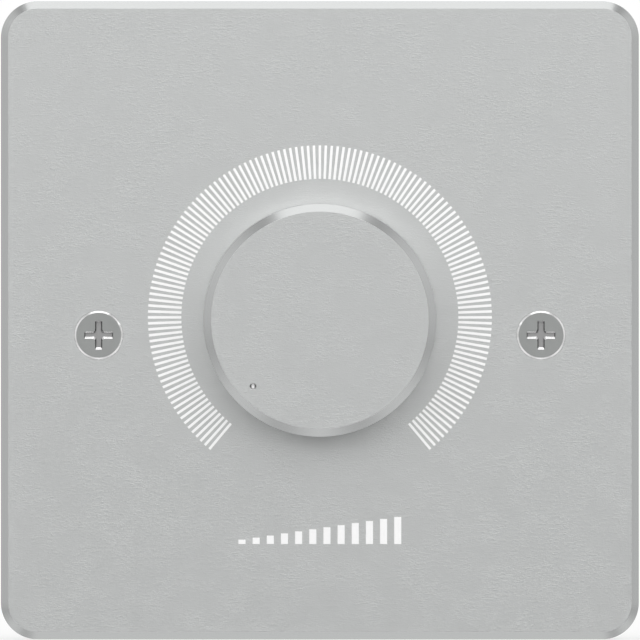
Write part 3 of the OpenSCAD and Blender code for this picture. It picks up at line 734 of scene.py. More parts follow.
def dimple_painted_light(tree, arm, radius):
    """A painted highlight round a spot below the middle, painted shade on its left and right, and painted shade
    that darkens it towards its bottom.
    """
    highlight_reach, side_shade, lit_top = (np.multiply(span, radius) for span in (HIGHLIGHT_SPAN, SIDE_SHADE_SPAN, LIT_TOP_SPAN))
    below = vectors(tree, "LENGTH", vectors(tree, "SUBTRACT", arm, (0, 0, -HIGHLIGHT_DROP * radius)))
    along = put(tree, "SeparateXYZ", {0: arm}).outputs
    lit_top = mapped(tree, along[2], *lit_top)
    side_shade = maths(tree, "MULTIPLY", mapped(tree, maths(tree, "ABSOLUTE", along[0]), *side_shade), lit_top)
    hollow_with_painted_shade = mixed(tree, side_shade, mixed(tree, lit_top, DIMPLE_SHADED_BOTTOM, DIMPLE_LIT_TOP), DIMPLE_SIDE_SHADE)
    return mixed(tree, mapped(tree, below, *highlight_reach), DIMPLE_HIGHLIGHT, hollow_with_painted_shade)


def bevelled_metal(name, side_colour, side_skin, side_values, dimple=None):
    """Satin where the surface faces front or back, smooth where it leans, side_skin on side walls. A
    piece with a dimple, given by its place and radius, has its side walls' finish on its back too, and a painted
    highlight and painted shade in the dimple."""
    tree = blank_material(name)
    facing = maths(tree, "MULTIPLY", coordinate(tree, "Normal", 1), -1) if dimple else facing_share(tree)
    on_face = mapped(tree, facing, *FACE_LEAN)
    on_side = mapped(tree, facing, *SIDE_LEAN, 1, 0)
    grain, shade = skinned(tree, SATIN)
    marks, _ = skinned(tree, side_skin, side_values)
    marks = maths(tree, "MULTIPLY", maths(tree, "MULTIPLY", marks, on_side), SIDE_MARKS_SHARE)
    height = maths(tree, "ADD", maths(tree, "MULTIPLY", grain, on_face), marks)
    rough = mapped(tree, on_face, 0, 1, BEVEL_ROUGH, FACE_ROUGH)
    rough = maths(tree, "ADD", rough, maths(tree, "MULTIPLY", on_side, SIDE_ROUGH - BEVEL_ROUGH))
    rough = maths(tree, "ADD", rough, mapped(tree, shade, 0, 1, -ROUGH_WANDER, ROUGH_WANDER))
    colour = mixed(tree, on_side, ALUMINIUM, side_colour)
    if dimple:
        place, radius = dimple
        arm = vectors(tree, "SUBTRACT", coordinate(tree), place)
        inside = mapped(tree, vectors(tree, "LENGTH", arm), radius, DIMPLE_RIM * radius, 1, 0)
        # The dimple's colour is painted light: a painted highlight and painted shade.
        colour = mixed(tree, inside, colour, dimple_painted_light(tree, arm, radius))
        height = maths(tree, "MULTIPLY", height, maths(tree, "SUBTRACT", 1, inside))
        rough = maths(tree, "MULTIPLY", rough, mapped(tree, inside, 0, 1, 1, DIMPLE_ROUGH_SHARE))
    shaded(tree, colour, rough, height, GRAIN_BUMP * MICRON, Metallic=1.0)


bevelled_metal("plate_metal", ALUMINIUM, FINE, {"Fineness": 5000})
print("aluminium", list(made_of))

# %% [markdown]
# ## Steel, plating and other metals
# A plated part has a little more shine and less colour than a bare one. The fixing screws' heads are
# grey on their flat and bright on the sloping rim and in the cross, where the driver has polished them,
# but the cross's walls that face sideways carry painted shade.
# The other metals differ only in colour, roughness and grain.

# %% Other metals
FLAT_LEAN, SHADE_SIDEWAYS_LEAN = (0.93, 0.99), (0.5, 0.85)
ZINC, ZINC_ROUGH, ZINC_FROM = (0.56, 0.56, 0.55), 0.32, 0.5 * MM
# The third colour on this line is painted shade for the cross's walls that face sideways.
STAIN, STAIN_SHARE, CROSS_PAINTED_SHADE, SCREW_FINENESS = grey(0.2), 0.12, grey(0.12), 9000


def screw_metal(name, flat_colour, bright_colour, flat_rough, bright_rough, hollow_with_painted_shade=False):
    """Grey on surfaces that face front or back, bright elsewhere, and dull zinc behind the wall's plane.

    In a hollow the walls that face sideways carry painted shade.
    """
    tree = blank_material(name)
    on_flat = mapped(tree, facing_share(tree), *FLAT_LEAN)
    height, shade = skinned(tree, FINE, {"Fineness": SCREW_FINENESS})
    colour = mixed(tree, on_flat, bright_colour, flat_colour)
    if hollow_with_painted_shade:
        # Painted shade on the hollow's walls that face sideways.
        colour = mixed(tree, mapped(tree, facing_share(tree, 0), *SHADE_SIDEWAYS_LEAN), colour, CROSS_PAINTED_SHADE)
    behind = mapped(tree, coordinate(tree, axis=1), 0, ZINC_FROM)
    colour = mixed(tree, behind, colour, ZINC)
    colour = mixed(tree, mapped(tree, shade, 0, 1, 0, STAIN_SHARE), colour, STAIN)
    rough = mapped(tree, on_flat, 0, 1, bright_rough, flat_rough)
    rough = maths(tree, "MAXIMUM", rough, mapped(tree, behind, 0, 1, 0, ZINC_ROUGH))
    shaded(tree, colour, rough, height, MICRON, Metallic=1.0)


SCREW_METALS = (
    ("screw_steel", (0.33, 0.339, 0.334), grey(0.9), 0.4, 0.2),
    # The cross's finish below paints shade on its walls that face sideways.
    ("cross_steel", grey(0.35), grey(0.9), 0.4, 0.2, True),
    ("board_screw_steel", (0.62, 0.62, 0.6), (0.75, 0.75, 0.73), 0.3, 0.22),
)
METALS = (
    ("black_steel", (0.03, 0.03, 0.032), (0.05, 0.05, 0.052), (0.35, 0.45), 0.5),
    ("nut_nickel", (0.66, 0.63, 0.58), (0.72, 0.69, 0.64), (0.22, 0.3), 0.5),
    ("frame_steel", (0.6, 0.6, 0.58), (0.68, 0.68, 0.66), (0.28, 0.38), 1,
     FINE, {"Fineness": 2500.0, "Stretch": (1, 1, 6)}),
    ("bushing_zinc", grey(0.5), grey(0.58), (0.35, 0.48), 1.5),
    ("shaft_steel", (0.58, 0.58, 0.57), (0.64, 0.64, 0.63), (0.22, 0.28), 1, TURNED, {"Centre": dial_centre}),
    ("wiper_brass", (0.75, 0.55, 0.24), (0.8, 0.6, 0.3), (0.25, 0.35), 0.5),
    ("pin_tin", (0.62, 0.62, 0.61), (0.74, 0.74, 0.72), (0.25, 0.4), 1.5),
    ("standoff_steel", (0.55, 0.55, 0.53), (0.63, 0.62, 0.6), (0.25, 0.34), 0.5),
    ("cage_nickel", (0.6, 0.58, 0.53), (0.68, 0.66, 0.6), (0.25, 0.38), 0.5),
    ("solder_tin", (0.7, 0.7, 0.69), (0.8, 0.8, 0.78), (0.16, 0.3), 2, FINE, {"Fineness": 1500.0}),
)
for row in SCREW_METALS:
    screw_metal(*row)
for row in METALS:
    finish(*row, Metallic=1.0)
print("metals", len(SCREW_METALS) + len(METALS))

# %% [markdown]
# ## Ink, resins and the board
# Ink and resin aren't metallic: their shine is the same for every colour. The board is glass laminate
# with a green mask on both faces and bare, straw-coloured edges.

# %% Ink and resins
PEEL, WEAVE = {"Fineness": 1200.0}, {"Fineness": 900.0, "Stretch": (1, 14, 1)}
RESINS = (
    ("white_ink", grey(0.96), grey(0.98), (0.42, 0.5), 0.5),
    ("housing_resin", (0.018, 0.018, 0.02), (0.032, 0.032, 0.034), (0.42, 0.55), 4),
    ("rotor_resin", (0.7, 0.66, 0.55), (0.78, 0.74, 0.64), (0.35, 0.45), 1),
    ("track_carbon", (0.03, 0.022, 0.018), (0.08, 0.05, 0.035), (0.4, 0.55), 1),
    ("terminal_plastic", (0.012, 0.16, 0.055), (0.017, 0.2, 0.072), (0.36, 0.46), 3,
     FINE, {"Fineness": 6000.0}),
    ("board_legend", (0.78, 0.78, 0.74), (0.84, 0.84, 0.8), (0.5, 0.6), 1),
    ("trace_mask", (0.025, 0.23, 0.085), (0.035, 0.28, 0.1), (0.2, 0.3), 2, FINE, PEEL),
)
CAPACITOR_FILM = ((0.6, 0.3, 0.02), (0.68, 0.36, 0.03), (0.25, 0.35), 4, FINE, {"Fineness": 700.0})
MASK_GREENS = (0.008, 0.1, 0.035), (0.012, 0.125, 0.045)
LAMINATE_LAYERS = (0.42, 0.36, 0.18), (0.6, 0.54, 0.32)
MASK_ROUGH, LAMINATE_ROUGH, MASK_BUMP, BOARD_LEAN = 0.24, 0.7, 2, (0.5, 0.6)
for row in RESINS:
    finish(*row)
finish("capacitor_film", *CAPACITOR_FILM, **WAXED)
tree = blank_material("board_laminate")
on_face = mapped(tree, facing_share(tree), *BOARD_LEAN)
peel, shade = skinned(tree, FINE, PEEL)
layers, _ = skinned(tree, FINE, WEAVE)
colour = mixed(tree, on_face, mixed(tree, layers, *LAMINATE_LAYERS), mixed(tree, shade, *MASK_GREENS))
shaded(tree, colour, mapped(tree, on_face, 0, 1, LAMINATE_ROUGH, MASK_ROUGH), peel, MASK_BUMP * MICRON)
print("materials", len(made_of))

# %% [markdown]
# ## Faceplate
# The plate is a stack of rounded squares. Its edge is one small profile of (how far in, how high): the
# side, the bevel and the face, with each corner of the profile rounded. Carrying that profile round the
# square keeps the bevel's width the same on the straights and round the corners.

# %% Faceplate
PLATE_CORNER, PLATE_BEVEL, EDGE_ROUND, BACK_EDGE, CORNER_STEPS = 5.0, 1.0, 0.04, 0.12, 24
POCKET_R, POCKET_DEPTH, BUSHING_HOLE_R = 8.5, 0.8, 3.6
STUD_HOLE_R, STUD_HOLE_DEPTH, FIXING_HOLE_R, CONE_R = 3.01, 1.0, 2.0, 3.34
plate_half = (plate_high.x - plate_low.x) / 2 / MM
plate_up, plate_t = (plate_middle.z - DIAL_Z) / MM, -plate_low.y / MM
ABOVE_PLATE = plate_t + 1
edge_line = rounded([
    (2 * EDGE_ROUND + BACK_EDGE, 0), (BACK_EDGE, 0), (0, BACK_EDGE), (0, plate_t - PLATE_BEVEL),
    (PLATE_BEVEL, plate_t), (PLATE_BEVEL + 2 * EDGE_ROUND, plate_t),
], EDGE_ROUND)
square = (plate_half, plate_half)
outlines = [rounded_box_line(square, PLATE_CORNER, inset, (0, plate_up), CORNER_STEPS)
            for inset, _ in edge_line]


def drilled(radius, low, high, count=64):
    """A plain cylinder to cut a hole with."""
    return turned([(0, low), (radius, low), (radius, high), (0, high)], count)


fixings, studs = (places_of(node, on_plate) for node in ("wall_screws", "board_standoffs"))
cone = [(0, -1), (FIXING_HOLE_R, -1), (FIXING_HOLE_R, plate_t - CONE_R + FIXING_HOLE_R),
        (CONE_R, plate_t), (CONE_R, ABOVE_PLATE), (0, ABOVE_PLATE)]
cutters = [drilled(POCKET_R, -1, POCKET_DEPTH, 96), drilled(BUSHING_HOLE_R, -1, ABOVE_PLATE)]
cutters += spread(drilled(STUD_HOLE_R, -1, STUD_HOLE_DEPTH), studs) + spread(turned(cone), fixings)
plate = lay("plate", [lofted(outlines, edge_line[:, 1])], "plate_metal", "faceplate",
            facing=facing_front, cutters=cutters)
print("plate", len(plate.data.polygons), "faces")

# %% [markdown]
# ## Knob
# The knob is one turned profile: face, chamfer, side, small back chamfer, then inwards over the recess
# that clears the nut, and up the bore. Every outer edge is rounded by a few hundredths of a millimetre,
# which is what catches the light. The bore's upper part has a flat, a hole comes in from the side for the
# set screw, and a small round dimple in the face points at the scale.

# %% Knob
ROUND, KNOB_SEGMENTS = 0.07, 288
knob_low, knob_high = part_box("knob")
knob_face, knob_back = -knob_low.y / MM, -knob_high.y / MM
knob_r = (knob_high.x - knob_low.x) / 2 / MM
shaft_low, shaft_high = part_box("pot_shaft")
KNOB_CHAMFER, KNOB_BACK_CHAMFER = 1.06, 0.3
RECESS_R, RECESS_TOP, FLAT_START, BORE_TOP = 9.0, 7.3, 8.9, 16.1
SHAFT_FLAT, BORE_SLACK = 1.5, 0.01
POINTER_R, DIMPLE_R, DIMPLE_DEPTH, LIP, OVER = 12.77, 0.42, 0.31, 0.02, 0.1
SET_SCREW_HOLE_R, SET_SCREW_UP = 1.51, 12.3
POINTER_TURN = math.radians(134.7)
bore_r = (shaft_high.x - shaft_low.x) / 2 / MM + BORE_SLACK
line = rounded([
    (POINTER_R + 1, knob_face), (knob_r - KNOB_CHAMFER, knob_face), (knob_r, knob_face - KNOB_CHAMFER),
    (knob_r, knob_back + KNOB_BACK_CHAMFER), (knob_r - KNOB_BACK_CHAMFER, knob_back),
    (RECESS_R, knob_back), (RECESS_R, RECESS_TOP), (bore_r, RECESS_TOP), (bore_r, FLAT_START),
    (0, FLAT_START),
], ROUND)
line = np.concatenate([[(0, knob_face), (POINTER_R - 1, knob_face)], line])


def dimple_cutter():
    """A ball's cap whose edge flares out softly: r^2 = ball^2 - (depth - ball)^2, plus a small lip."""
    depth = np.linspace(0, DIMPLE_DEPTH + OVER, 18)
    ball = (DIMPLE_R ** 2 + DIMPLE_DEPTH ** 2) / (2 * DIMPLE_DEPTH)
    radius = np.sqrt(np.maximum(ball ** 2 - (depth - ball) ** 2, 0))
    radius += LIP * np.exp((depth - DIMPLE_DEPTH) / LIP) * (depth > 0)
    return turned(np.r_[np.c_[radius, depth + knob_face - DIMPLE_DEPTH], [[0, knob_face + OVER]]], 48)


turn = around(96) - np.pi
flat_bore = np.c_[bore_r * np.sin(turn), np.minimum(bore_r * np.cos(turn), SHAFT_FLAT + BORE_SLACK)]
side_hole = drilled(SET_SCREW_HOLE_R, 0, knob_r + 1, 48)
side_hole = (side_hole[0][:, [0, 2, 1]] + (0, 0, SET_SCREW_UP), side_hole[1])
cutters = [lofted([flat_bore, flat_bore], [FLAT_START - OVER, BORE_TOP]),
           moved(dimple_cutter(), (0, POINTER_R, 0)), side_hole]
pointer, _ = spun((np.array([[0, POINTER_R, knob_face]]), None), POINTER_TURN)
pointer = tuple(facing_front(pointer)[0].tolist())
bevelled_metal("knob_metal", BARE_ALUMINIUM, TURNED, {"Centre": dial_centre},
               (pointer, (DIMPLE_R + LIP) * MM))
knob = lay("knob_turned", [turned(line, KNOB_SEGMENTS)], "knob_metal", "knob", facing=facing_front,
           sharp=25, cutters=[spun(cutter, POINTER_TURN) for cutter in cutters])
print("knob", len(knob.data.polygons), "faces")

# %% [markdown]
# ## Screw shapes
# A countersunk screw is a turned shape too, only that the radius of its shank also waves along a helix:
# r = core + depth * ridge(height / pitch - angle / 2 pi), where ridge is a sharp-topped wave. A cross
# recess is a plus drawn at a few depths, smaller further down, with rounded corners.

# %% Screw shapes
UPPER_SHARE, INNER_SHARE, OUTER_SHARE, DEEPER = 0.65, 0.42, 0.1, 1.1
CROSS_OVER, CROSS_SLOPE = 0.3, 0.25
RIDGE_STEEP, RIDGE_FLAT, ROWS_PER_TURN = 1.35, 0.18, 8


def cross_line(width, arm, across, along):
    """The outline of a plus, drawn in sideways by across and up and down by along, corners rounded."""
    tip, half = width / 2, arm / 2
    quarter = np.array([(half, half), (half, tip), (-half, tip)])
    corners = np.concatenate([quarter, quarter[:, ::-1] * (-1, 1), -quarter, quarter[:, ::-1] * (1, -1)])
    corners -= np.sign(corners) * (across, along) * np.where(corners[:, 1:] > 0, (1, UPPER_SHARE), 1)
    start = (corners[0] + corners[-1]) / 2
    radii = [(OUTER_SHARE if index % 3 else INNER_SHARE) * arm for index in range(len(corners))]
    return rounded(np.concatenate([[start], corners, [start]]), radii)[:-1]


def cross_cutter(top, depth, width, arm, across, along):
    """A cross from just above a head's top down to its floor, with steep sides and sloping ends."""
    levels = ((CROSS_OVER, 0), (0, 0), (-CROSS_SLOPE, 1), (-depth, DEEPER))
    outlines = [cross_line(width, arm, share * across, share * along) for _, share in levels]
    return lofted(outlines, [top + level for level, _ in levels])


def threaded(profile, low, high, core, outer, pitch):
    """A turned profile with a helical thread between two heights, run out smoothly at both ends."""
    profile = np.asarray(profile, float)
    rows = np.arange(low, high, pitch / ROWS_PER_TURN)
    below, above = profile[profile[:, 1] <= low], profile[profile[:, 1] >= high]
    line = np.concatenate([below, np.c_[np.full(len(rows), outer), rows], above])
    radius, height = line[:, 0, None], line[:, 1, None]
    turn = around(40)
    phase = (height / pitch - turn / (2 * np.pi)) % 1
    ridge = 1 - np.clip(np.abs(2 * phase - 1) * RIDGE_STEEP - RIDGE_FLAT, 0, 1)
    fade = np.clip(np.minimum(height - low, high - height) / pitch, 0, 1)
    waved = core + (outer - core) * (1 - fade * (1 - ridge))
    return turned_rows(np.where((height > low) & (height < high), waved, radius), height, len(turn))


print("ridge", RIDGE_STEEP, RIDGE_FLAT)

# %% [markdown]
# ## Fixing screws
# Each head lies in the plate's cone with its sloping rim standing just proud of the face. The cross's
# walls get a finish of their own, with painted shade on those that face sideways. It is given to the
# faces that lie round the head's middle and deeper than its top.

# %% Fixing screws
HEAD_TOP, RIM, RIM_LEAN, RIM_EDGE, HEAD_R, NECK_R, NECK_LOW = 3.26, 0.26, 0.01, 0.0572, 3.33, 1.45, -0.05
THREAD_R, CREST_LOSS, CORE_R, THREAD_END, THREAD_PITCH = 1.75, 0.02, 1.35, -0.4, 0.6
SCREW_END, TIP, POINT_R, POINT_EDGE_R, POINT_EDGE = -22.0, 1.2, 0.5, 0.725, 0.12
VISIBLE_DEPTH, CROSS_W, CROSS_ARM, CROSS_DRAFT = 0.6, 3.9, 0.95, (0.12, 0.3)
CROSS_NEAR, TOP_SKIN, CROSS_DEEPEST = 0.01, 0.001, -1
shank_end, crest_r = SCREW_END + TIP, THREAD_R - CREST_LOSS
screw_line = [
    (0, SCREW_END), (POINT_R, SCREW_END), (POINT_EDGE_R, SCREW_END + POINT_EDGE), (crest_r, shank_end),
    (crest_r, THREAD_END), (NECK_R, NECK_LOW), (NECK_R, HEAD_TOP - RIM - (HEAD_R - NECK_R)),
    (HEAD_R, HEAD_TOP - RIM), (HEAD_R - RIM_LEAN, HEAD_TOP - RIM + RIM_EDGE), (HEAD_R - RIM, HEAD_TOP),
    (0, HEAD_TOP),
]
screw = threaded(screw_line, shank_end, THREAD_END, CORE_R, THREAD_R, THREAD_PITCH)
recess = cross_cutter(HEAD_TOP, VISIBLE_DEPTH, CROSS_W, CROSS_ARM, *CROSS_DRAFT)
wall_screws = lay("fixing_screws", spread(screw, fixings), "screw_steel", "wall_screws",
                  facing=facing_front, sharp=28, cutters=spread(recess, fixings))
# The second finish, with painted shade on the cross's sideways walls, goes to the cross.
wall_screws.data.materials.append(made_of["cross_steel"])
centres = np.zeros(3 * len(wall_screws.data.polygons))
wall_screws.data.polygons.foreach_get("center", centres)
right, back, up = (centres.reshape(-1, 3) - dial_centre).T / MM
off_axis = np.hypot(np.abs(right) - abs(fixings[0][0]), up - fixings[0][1])
in_cross = (off_axis < CROSS_W / 2 + CROSS_NEAR) & (back > TOP_SKIN - HEAD_TOP) & (back < CROSS_DEEPEST)
wall_screws.data.polygons.foreach_set("material_index", in_cross.astype(np.int32))
print("fixing screws", len(wall_screws.data.polygons), "faces,", int(in_cross.sum()), "in the crosses")

# %% [markdown]
# ## Board screws
# Pan heads: a dome with a flat underside, and the same kind of cross. They stand on washers and screw
# into the standoffs.

# %% Board screws
PAN_R, PAN_LOW, PAN_TOP, PAN_EDGE, PAN_BREAK, DOME_H, CROWN = 2.8, 0.5, 2.5, 0.9, 0.1, 0.95, 0.2
BOARD_SHANK_R, BOARD_SHANK_END, SHANK_EDGE = 1.5, -5.5, 0.3
BOARD_CROSS, BOARD_CROSS_DEPTH, BOARD_CROSS_DRAFT = (2.8, 0.7), 0.9, (0.12, 0.12)
swell = np.linspace(0, np.pi / 2, 12)
dome = np.c_[PAN_R - PAN_EDGE + PAN_EDGE * np.cos(swell), PAN_TOP - CROWN - DOME_H + DOME_H * np.sin(swell)]
crown = np.linspace(PAN_R - PAN_EDGE, 0, 8)[1:]
crown = np.c_[crown, PAN_TOP - CROWN + CROWN * (1 - (crown / (PAN_R - PAN_EDGE)) ** 2)]
shank = [(0, BOARD_SHANK_END), (BOARD_SHANK_R - SHANK_EDGE, BOARD_SHANK_END),
         (BOARD_SHANK_R, BOARD_SHANK_END + SHANK_EDGE), (BOARD_SHANK_R, PAN_LOW),
         (PAN_R - PAN_BREAK, PAN_LOW), (PAN_R, PAN_LOW + PAN_BREAK)]
pan = turned(np.concatenate([shank, dome, crown]), 56)
stud_places = places_of("board_screws")
recess = cross_cutter(PAN_TOP, BOARD_CROSS_DEPTH, *BOARD_CROSS, *BOARD_CROSS_DRAFT)
pans = lay("pan_screws", spread(pan, stud_places), "board_screw_steel", "board_screws", sharp=32,
           cutters=spread(recess, stud_places))
print("board screws", len(stud_places), "heads", len(pans.data.polygons), "faces")

# %% [markdown]
# ## Resistors and diodes
# An axial part is a turned body with a wire through its axis that bends down into the board at both
# ends. A resistor's body swells over its end caps, a diode's is a plain glass bead with a dark band on
# the cathode's side. Colour bands are read off the height along the body.

# %% Axial parts
PART_LIFT, LEAD_REACH, LEAD_BEND = 0.3, -2.6, 0.7
BROWN, BLACK, GOLD = (0.09, 0.03, 0.012), (0.006, 0.006, 0.006), (0.5, 0.32, 0.08)
RESISTOR_PITCH, RESISTOR_LEAD_R, RESISTOR_END = 10.16, 0.3, 3.15
WAIST_R, SWELL, SWELL_FROM, SWELL_SOFT = 0.98, 0.22, 1.75, 0.16
END_FROM, END_LENGTH, END_POWER = 2.55, 0.62, 2.4
DIODE_PITCH, DIODE_LEAD_R, DIODE_R, DIODE_END, DIODE_ROUND = 7.62, 0.25, 0.95, 1.95, 0.35
RESISTOR_COAT = ((0.1275, 0.34, 0.51), (0.15, 0.4, 0.6), (0.22, 0.32), 5, FINE, {"Fineness": 900.0})
DIODE_GLASS = ((0.357, 0.085, 0.0255), (0.42, 0.1, 0.03), (0.07, 0.12), 5, FINE, {"Fineness": 900.0})
CATHODE_BAND = (1.15, 0.55, BLACK)
RESISTOR_BANDS = ((2.35, 0.5, BROWN), (1.1, 0.42, BLACK), (0.2, 0.42, BLACK), (-0.7, 0.42, GOLD),
                  (-2.35, 0.5, BROWN))


def lay_axial(node, kind, line, lead_r, pitch):
    """Bodies as one piece and wires as another, lying upright on the board at the node's solids."""
    places = places_of(node)
    lift, half = PART_LIFT + max(point[0] for point in line), pitch / 2
    points, faces = turned(line, 48)
    body = (np.stack([points[:, 0], points[:, 2], points[:, 1] + lift], -1), faces)
    wire = tube(rounded([(0, -half, LEAD_REACH), (0, -half, lift), (0, half, lift), (0, half, LEAD_REACH)],
                        LEAD_BEND, 8), lead_r)
    lay(kind + "_bodies", spread(body, places), slot_of[node], node)
    lay(kind + "_wires", spread(wire, places), "pin_tin")
    return places


height = np.linspace(-RESISTOR_END, RESISTOR_END, 43)
swollen = WAIST_R + SWELL / (1 + np.exp((SWELL_FROM - np.abs(height)) / SWELL_SOFT))
swollen *= np.sqrt(1 - np.clip((np.abs(height) - END_FROM) / END_LENGTH, 0, 1) ** END_POWER)
resistor_line = np.c_[np.maximum(swollen, RESISTOR_LEAD_R), height]
resistor_line = np.r_[[[0, -RESISTOR_END]], resistor_line, [[0, RESISTOR_END]]]
finish("resistor_coat", *RESISTOR_COAT, ("series_resistors", RESISTOR_BANDS))
resistors = lay_axial("series_resistors", "resistor", resistor_line, RESISTOR_LEAD_R, RESISTOR_PITCH)
diode_line = [(0, -DIODE_END), (DIODE_R, -DIODE_END), (DIODE_R, DIODE_END), (0, DIODE_END)]
diode_line = rounded(diode_line, DIODE_ROUND, 7)
finish("diode_glass", *DIODE_GLASS, ("protection_diodes", [CATHODE_BAND]), **COATED)
diodes = lay_axial("protection_diodes", "diode", diode_line, DIODE_LEAD_R, DIODE_PITCH)
print("axial parts", len(resistors) + len(diodes))

# %% [markdown]
# ## Film capacitor
# The capacitor is a block dipped in resin, so all its edges are soft. Rounded rectangles are stacked
# along its height, and drawn in at both ends as a quarter circle asks.

# %% Film capacitor
CAP_SIZE, CAP_ROUND, CAP_PITCH, CAP_LEAD_R, NOT_QUITE = (7.2, 2.5, 6.5), 0.5, 5.0, 0.25, 0.999
cap_low, cap_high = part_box("filter_capacitor")
cap_left, cap_up = on_board((cap_low + cap_high) / 2)
half_cap = (CAP_SIZE[0] / 2, CAP_SIZE[1] / 2)


def slab(half, height, corner, steps=5):
    """A block with all edges rounded, standing on the height 0 about its middle."""
    turn = np.linspace(0, np.pi / 2, steps + 1)
    inset = NOT_QUITE * corner * (1 - np.sin(turn))
    rise = corner * (1 - np.cos(turn))
    outlines = [rounded_box_line(half, corner, gap, steps=steps) for gap in np.r_[inset, inset[::-1]]]
    return lofted(outlines, np.r_[rise, height - rise[::-1]])


shell = moved(slab(half_cap, CAP_SIZE[2], CAP_ROUND), (cap_left, cap_up, PART_LIFT))
lay("capacitor_body", [shell], "capacitor_film", "filter_capacitor", sharp=60)
cap_leads = [(cap_left + side * CAP_PITCH / 2, cap_up) for side in (-1, 1)]
lay("capacitor_wires", spread(tube([(0, 0, LEAD_REACH), (0, 0, 0), (0, 0, 1)], CAP_LEAD_R), cap_leads),
    "pin_tin")
print("capacitor at", round(cap_left, 2), round(cap_up, 2))

# %% [markdown]
# ## Solder and pads
# Each hole for a lead or a screw has a thin ring of tinned copper on both faces. Where a lead comes out on
# the far side of its part it carries a cone of solder: the radius falls from the pad's to the lead's as
# r = lead + (pad - lead) * (1 - h / height)^2.2, which gives the hollow flank of metal that has wetted both.

# %% Solder and pads
COPPER, SOLDER_H, SOLDER_CAP, SPREAD_R, HOLLOW = 0.035, 0.85, 0.08, 0.9, 2.2
PIN_R, TONGUE_SOLDER, LEAD_PAD, VIA_PAD = 0.3, (0.45, 1.2), (0.55, 0.95), (0.2, 0.42)
TONGUE_PAD, STUD_PAD, PAD_TOP, PAD_SIDE, PAD_EDGE = (0.75, 1.25), (1.65, 3.45), 0.05, 0.035, 0.03
LEG_HALF, LEG_T, LEG_SPREAD, LEG_RISE, LEG_GAP, LEG_CORNER = (0.25, 1.0), 0.5, 0.6, 0.7, 0.02, 0.05
TONGUE_IN, PIN_IN = 0.4, 0.15
VIA_PLACES = ((9.2, 4.6), (7.6, 8.4), (2.2, 11.2), (16.6, -3.2))
VIAS = [(side * left, up) for side in (-1, 1) for left, up in VIA_PLACES]
BOARD_T = (board_high.y - board_low.y) / MM


def solder_cone(lead_r, pad_r=SPREAD_R):
    """A closed solder fillet round a wire, standing on the height 0."""
    share = np.linspace(0, 1, 9)
    flank = np.c_[lead_r + (pad_r - lead_r) * (1 - share) ** HOLLOW, COPPER + share * SOLDER_H]
    cap = np.linspace(1, 0, 4)[1:]
    cap = np.c_[lead_r * cap, COPPER + SOLDER_H + SOLDER_CAP * (1 - cap ** 2)]
    return turned(np.concatenate([[(0, 0), (pad_r, 0)], flank, cap]), 28)


def leg_solder():
    """A solder fillet round a flat leg: rounded rectangles that shrink upwards to the leg."""
    share = np.linspace(0, 1, 8)
    reach = np.r_[LEG_SPREAD, LEG_SPREAD * (1 - share) ** HOLLOW + LEG_GAP]
    outlines = [rounded_box_line(np.add(LEG_HALF, out), out + LEG_CORNER, steps=5) for out in reach]
    return lofted(outlines, np.r_[0, COPPER + share * LEG_RISE])


def pad(hole_r, pad_r):
    """A flat ring of tinned copper."""
    return turned([(hole_r, 0), (pad_r, 0), (pad_r, PAD_SIDE), (pad_r - PAD_EDGE, PAD_TOP),
                   (hole_r, PAD_TOP), (hole_r, 0)], 32)


def on_front(parts):
    """Parts drawn on the board's back, put on its front face instead."""
    return [(points * (1, 1, -1) - (0, 0, BOARD_T), faces) for points, faces in parts]


def ends(places, pitch):
    """Where the two wires of each axial part go through the board."""
    return [(left, up + side * pitch / 2) for left, up in places for side in (-1, 1)]


tongue_up = on_board(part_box("terminal_tongues")[1])[1] - TONGUE_IN
pin_up = on_board(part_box("pot_terminals")[0])[1] + PIN_IN
tongues = [(left, tongue_up) for left, _ in places_of("terminal_tongues")]
pins = [(left, pin_up) for left, _ in places_of("pot_terminals")]
resistor_holes, diode_holes = ends(resistors, RESISTOR_PITCH), ends(diodes, DIODE_PITCH)
leg_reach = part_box("pot_frame")[1].x / MM - LEG_T / 2
solder = on_front(
    spread(solder_cone(RESISTOR_LEAD_R), resistor_holes) + spread(solder_cone(DIODE_LEAD_R), diode_holes)
    + spread(solder_cone(CAP_LEAD_R), cap_leads) + spread(solder_cone(*TONGUE_SOLDER), tongues))
solder += spread(solder_cone(PIN_R), pins) + spread(leg_solder(), [(-leg_reach, 0), (leg_reach, 0)])
lay("solder_joints", solder, "solder_tin", sharp=50)
rings = spread(pad(*LEAD_PAD), resistor_holes + diode_holes + cap_leads + pins)
rings += spread(pad(*TONGUE_PAD), tongues) + spread(pad(*STUD_PAD), stud_places)
rings += on_front(rings) + spread(pad(*VIA_PAD), VIAS)
lay("board_pads", rings, "pin_tin")
print("solder joints", len(solder), "pads", len(rings))

# %% [markdown]
# ## Traces
# Copper lines under the green mask join the pads, so they show as slightly raised and paler paths. Each
# is a flat rectangle carried along a path with rounded bends.

# %% Traces
TRACE_W, EARTH_W, TRACE_LOW = 0.7, 1.1, -0.02


def ribbon(path, width, low, high, corner=0.6):
    """A flat band with rounded bends along a path of (left, up), from one height to another."""
    path = rounded(path, corner, 4) if corner and len(path) > 2 else np.asarray(path, float)
    half = width / 2
    section = [(-half, low), (-half, high), (half, high), (half, low)]
    return carried(np.c_[path, np.zeros(len(path))], section, (0.0, 0.0, 1.0))


def mirrored(*paths):
    """Each path, and its mirror image in the board's middle line."""
    return [[(side * left, up) for left, up in path] for path in paths for side in (-1, 1)]


